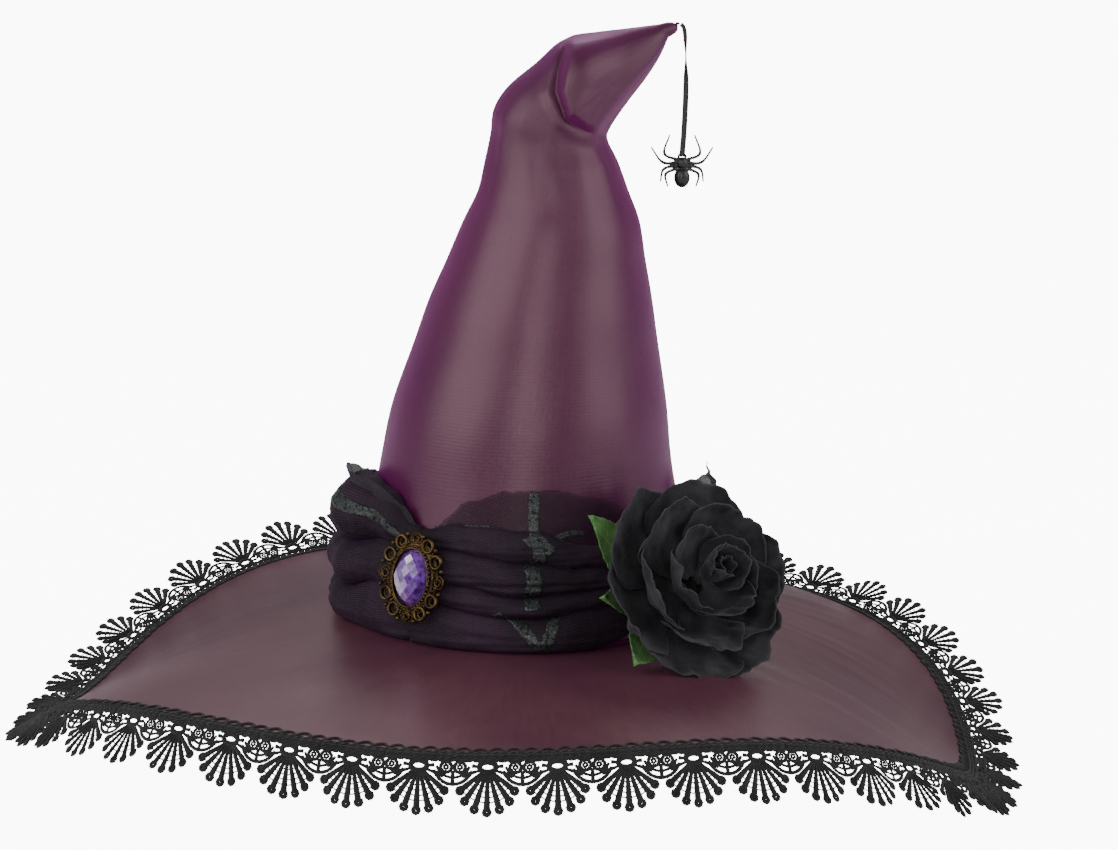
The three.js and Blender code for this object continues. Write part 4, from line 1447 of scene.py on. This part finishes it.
# Each row: ring, petals, first turn, arch, half the angle that a petal spans, roll, ruffle.
petal_rings = [
    ("outer", 6, 8, [(10, 4.4), (44, 3), (51, 27)], 42, 5.0, 3.4),
    ("middle", 5, 40, [(7, 10.5), (36, 11), (37, 38)], 46, 4.6, 3.0),
    ("inner", 4, 15, [(5, 17), (23, 19), (22, 46)], 60, 3.6, 2.4),
]
for ring, count, first_turn, arch, half_span, roll, ruffle in petal_rings:
    for k in range(count):
        name = f"rose_petal_{ring}_{k + 1}"
        seed = k + count * 1.37
        turn = first_turn + 360 * k / count + 6 * noise.noise(Vector((seed, 1, 1)))
        mesh = petal_mesh(name, arch, turn, half_span, seed, roll, ruffle)
        petal = add_piece(f"{name}_cloth", mesh, "hat", petal_cloth, [name])
        thicken(petal, petal_thick, 0)

# %% The bud
bud_seed = 20.5
bud_parts = [
    (0, [(3, 30), (11.5, 34), (10.5, 55)], 78), (120, [(3, 30), (9.5, 35), (8.5, 54)], 82),
    (235, [(2.5, 31), (7.5, 36), (6.0, 53.5)], 90), (60, [(2, 32), (5.5, 37), (3.2, 52.5)], 110),
    (180, [(1.5, 32), (3.6, 38), (1.0, 51)], 120),
]
for number, (turn, arch, half_span) in enumerate(bud_parts, 1):
    mesh = petal_mesh("bud", arch, turn, half_span, number + bud_seed, 1.6, 1.3)
    replaced = ["rose_bud"] if number == 1 else []
    bud = add_piece(f"rose_bud_{number}", mesh, "hat", petal_cloth, replaced)
    thicken(bud, petal_thick, 0)
finish_solid("rose_backing", petal_cloth)

# %% [markdown]
# ## The leaves
# Three green leaves of printed cloth stand out behind the petals. Each is a grid with a
# toothed outline, cupped along its middle rib, and its finish has pale side veins.

# %% Leaf finish
leaf_cut = (0.045, 0.02)
veins_per_metre = 190


def leaf_finish():
    """Green cloth with a pale middle rib and slanted side veins."""
    material, shader = new_finish(
        "green leaf cloth", Sheen_Weight=0.15, Specular_IOR_Level=0.4, Coat_Weight=0.1,
        Coat_Roughness=0.4,
    )
    tree = material.node_tree
    cloth = coordinates(tree, "UV")
    place = coordinates(tree, "Object")
    colour = patches(tree, place, 80, rgb(116, 172, 92), rgb(72, 130, 58))
    parts = add_node(tree, "ShaderNodeSeparateXYZ", {0: cloth})
    side = maths(tree, "ABSOLUTE", maths(tree, "SUBTRACT", parts.outputs["Y"], leaf_cut[1] / 2))
    slanted = maths(tree, "SUBTRACT", parts.outputs["X"], maths(tree, "MULTIPLY", side, 0.8))
    rib_wave = maths(tree, "SINE", maths(tree, "MULTIPLY", slanted, 2 * math.pi * veins_per_metre))
    rib = remap(tree, rib_wave, 0.82, 1.0)
    middle = remap(tree, side, 0.0009, 0.0003)
    vein = maths(tree, "MAXIMUM", rib, middle)
    half_vein = maths(tree, "MULTIPLY", vein, 0.5)
    veined = mix_colours(tree, half_vein, colour.outputs["Colour"], rgb(150, 190, 120))
    tree.links.new(veined, shader.inputs["Base Color"])
    roughness_from(tree, shader, colour.outputs["Amount"], 0.45, 0.65)
    weave = threads(tree, cloth, 2400)
    bumps(tree, shader, [(vein, 0.5, 0.3), (weave.outputs["Height"], 0.4, 0.06)])
    return material


leaf_cloth = leaf_finish()


# %% Leaves
leaf_teeth = 9


def leaf_mesh(name, turn, reach, width):
    """A leaf that grows out from under the petals and rises towards its point."""
    root, rise = 19, 18
    turn = math.radians(turn)

    def place(u, v):
        across = 2 * v - 1
        teeth = 1 + 0.1 * ((u * leaf_teeth) % 1) * (1 if u < 0.96 else 0)
        half = 0.5 * width * math.sin(math.pi * (0.1 + 0.885 * u) ** 0.85) * teeth
        radius = root + (reach - root) * u - 2.2 * across * across * u
        side = across * half
        uneven = noise.noise(Vector((u * 4, v * 4, turn)))
        height = 0.5 + rise * u * u + 2.0 * across * across + 0.8 * uneven
        return Vector((
            radius * math.cos(turn) - side * math.sin(turn),
            radius * math.sin(turn) + side * math.cos(turn),
            height,
        ))

    mesh = lay_cloth(name, (54, 12), place, leaf_cut)
    mesh.transform(rose_place)
    return mesh


leaf_thick = 0.5
leaf_sizes = [("upper", 138, 68, 26), ("middle", 178, 60, 16), ("lower", 214, 64, 22)]
for name, turn, reach, width in leaf_sizes:
    node = f"rose_leaf_{name}"
    mesh = leaf_mesh(node, turn, reach, width)
    leaf = add_piece(f"{node}_cloth", mesh, "hat", leaf_cloth, [node])
    thicken(leaf, leaf_thick, 0)

# %% [markdown]
# ## Inside the hat
# Inside are a smooth black lining, a ribbed sweatband where the hat meets the head, and
# a plain folded label. The foam, the buckram and the wire stay hidden between the cloths
# but still get their own finish, so that a cut through the hat shows true materials.

# %% Lining, sweatband and label
lining_cloth = woven_finish(
    "black lining", rgb(34, 31, 34), rgb(22, 20, 23), 1500, rough=(0.45, 0.6), crumple=(40, 0.4, 1.2)
)
band_cloth = woven_finish(
    "ribbed band", rgb(32, 30, 33), rgb(20, 19, 21), 420, rough=(0.6, 0.8), thread_bump=0.8, depth=0.3
)
label_cloth = woven_finish(
    "white label tape", rgb(228, 224, 216), rgb(214, 209, 200), 2400, rough=(0.6, 0.8)
)
lining_top = 8.85
lining_gap = 3.6
band_height, band_inset = 26, 4.9


def lining_point(u, v):
    angle = 2 * math.pi * u
    station = lining_top * v
    if v > 0.995:
        return crown_ring(station)[0]
    slack = abs(noise.noise(Vector((math.cos(angle) * 6, math.sin(angle) * 6, v * 5))))
    return crown_point(angle, station, lining_gap + 0.5 * slack)


lining_mesh = lay_cloth("crown_lining", (120, 70), lining_point, (0.56, 0.26), True)
lining = add_piece("crown_lining_cloth", lining_mesh, "hat", lining_cloth, ["crown_lining"])
thicken(lining, 0.5)


def band_point(u, v):
    angle = 2 * math.pi * u
    height = brim_bottom + (band_height - brim_bottom) * v
    rounded = 0.35 * math.sin(math.pi * v) ** 0.3
    point = crown_point(angle, station_at(max(0, height)), band_inset - rounded)
    return Vector((point.x, point.y, height))


band_mesh = lay_cloth("sweatband", (120, 16), band_point, (0.56, 0.03), True)
sweatband = add_piece("sweatband_cloth", band_mesh, "hat", band_cloth, ["sweatband"])
thicken(sweatband, 0.8)

label_low, label_high = (Vector(corner) * 1000 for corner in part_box("care_label"))


def label_point(u, v):
    bow = 0.35 * math.sin(math.pi * u)
    return Vector((
        label_low.x + (label_high.x - label_low.x) * u,
        label_high.y - 0.15 + bow * 0.3,
        label_low.z + (label_high.z - label_low.z) * v,
    ))


label = add_piece(
    "care_label_tape", lay_cloth("label", (18, 10), label_point, (0.018, 0.011)), "hat", label_cloth,
    ["care_label"],
)
thicken(label, 0.4)

# %% Stitches along the sweatband
stitch_count, stitch_height, stitch_inset, stitch_turn = 150, 24.2, 5.45, 0.026
stitches = []
for k in range(stitch_count):
    turn = 2 * math.pi * k / stitch_count
    ends = [
        crown_point(turn + step, station_at(stitch_height), stitch_inset) for step in (0, stitch_turn)
    ]
    stitches.append((ends, 0.22, False))
stitch_mesh = stroke_mesh("stitches", stitches, sides=0)
add_piece("sweatband_stitches", stitch_mesh, "hat", black_thread, ())

# %% Hidden layers
foam_finish = woven_finish(
    "grey foam", rgb(70, 66, 70), rgb(56, 52, 56), 900, rough=(0.85, 0.98), crumple=(700, 0.8, 0.5)
)
buckram_finish = woven_finish(
    "stiff buckram", rgb(48, 45, 48), rgb(36, 34, 37), 500, rough=(0.8, 0.95)
)


def steel_finish():
    material, shader = new_finish("steel wire", Metallic=1.0)
    tree = material.node_tree
    place = coordinates(tree, "Object")
    colour = patches(tree, place, 200, rgb(150, 151, 155), rgb(112, 113, 118))
    tree.links.new(colour.outputs["Colour"], shader.inputs["Base Color"])
    roughness_from(tree, shader, colour.outputs["Amount"], 0.3, 0.5)
    bumps(tree, shader, [(cloud(tree, place, 900), 0.2, 0.05)])
    return material


hidden = {
    "crown_foam": foam_finish, "tip_foam": foam_finish, "brim_buckram": buckram_finish,
    "brim_edge_wire": steel_finish(),
}
for node, finish in hidden.items():
    finish_solid(node, finish)

# %% [markdown]
# ## Floor and light
# The hat is shown over a plain white floor in soft light. A narrow strip in front draws the
# bright band down the cone, two broad lamps light the sides, and a weak one lifts the
# back. Floor and surround are much brighter to the camera than the light they give, so
# the white stays clean while the dark cloth keeps its depth.

# %% Floor
white = (1, 1, 1, 1)
floor_half_width, floor_height = 6, -0.112


def seen_and_given(tree, extra_seen, given):
    """A strength: what is given to other surfaces, and more where the camera looks at it."""
    seen = add_node(tree, "ShaderNodeLightPath").outputs["Is Camera Ray"]
    return times_plus(tree, seen, extra_seen, given)


bm = bmesh.new()
bmesh.ops.create_grid(bm, x_segments=1, y_segments=1, size=floor_half_width)
bmesh.ops.translate(bm, verts=bm.verts, vec=(0, 0, floor_height))
floor = bpy.data.objects.new("floor", mesh_from(bm, "floor"))
bpy.context.scene.collection.objects.link(floor)
floor_paint, floor_shader = new_finish(
    "floor paint", Base_Color=(0.9, 0.9, 0.9, 1), Roughness=0.9, Specular_IOR_Level=0.1,
    Emission_Color=white,
)
floor_glow = seen_and_given(floor_paint.node_tree, 10.0, 0.05)
floor_paint.node_tree.links.new(floor_glow, floor_shader.inputs["Emission Strength"])
floor.data.materials.append(floor_paint)

# %% Surround
world = bpy.data.worlds.new("surround")
bpy.context.scene.world = world
world.use_nodes = True
surround = world.node_tree.nodes["Background"]
surround.inputs["Color"].default_value = white
surround_glow = seen_and_given(world.node_tree, 10.5, 0.24)
world.node_tree.links.new(surround_glow, surround.inputs["Strength"])

# %% Lamps
hat_middle = Vector((0, 0, 0.1))


def add_lamp(name, place, size, power):
    """A lamp of size (width, height) in metres and power in watts that faces the hat."""
    light = bpy.data.lights.new(name, "AREA")
    light.shape = "RECTANGLE"
    light.size, light.size_y = size
    light.energy = power
    lamp = bpy.data.objects.new(name, light)
    lamp.location = place
    aim = hat_middle - lamp.location
    lamp.rotation_euler = aim.to_track_quat("-Z", "Y").to_euler()
    bpy.context.scene.collection.objects.link(lamp)
    print(name, "lamp:", power, "W")


add_lamp("front strip", (-0.12, -2.4, 0.9), (0.14, 1.6), 11)
add_lamp("left", (-1.9, -1.1, 1.2), (2.4, 2.0), 31)
add_lamp("right", (2.1, -0.9, 1.1), (2.4, 2.0), 27)
add_lamp("back", (0.1, 1.7, 1.5), (1.6, 0.8), 8)
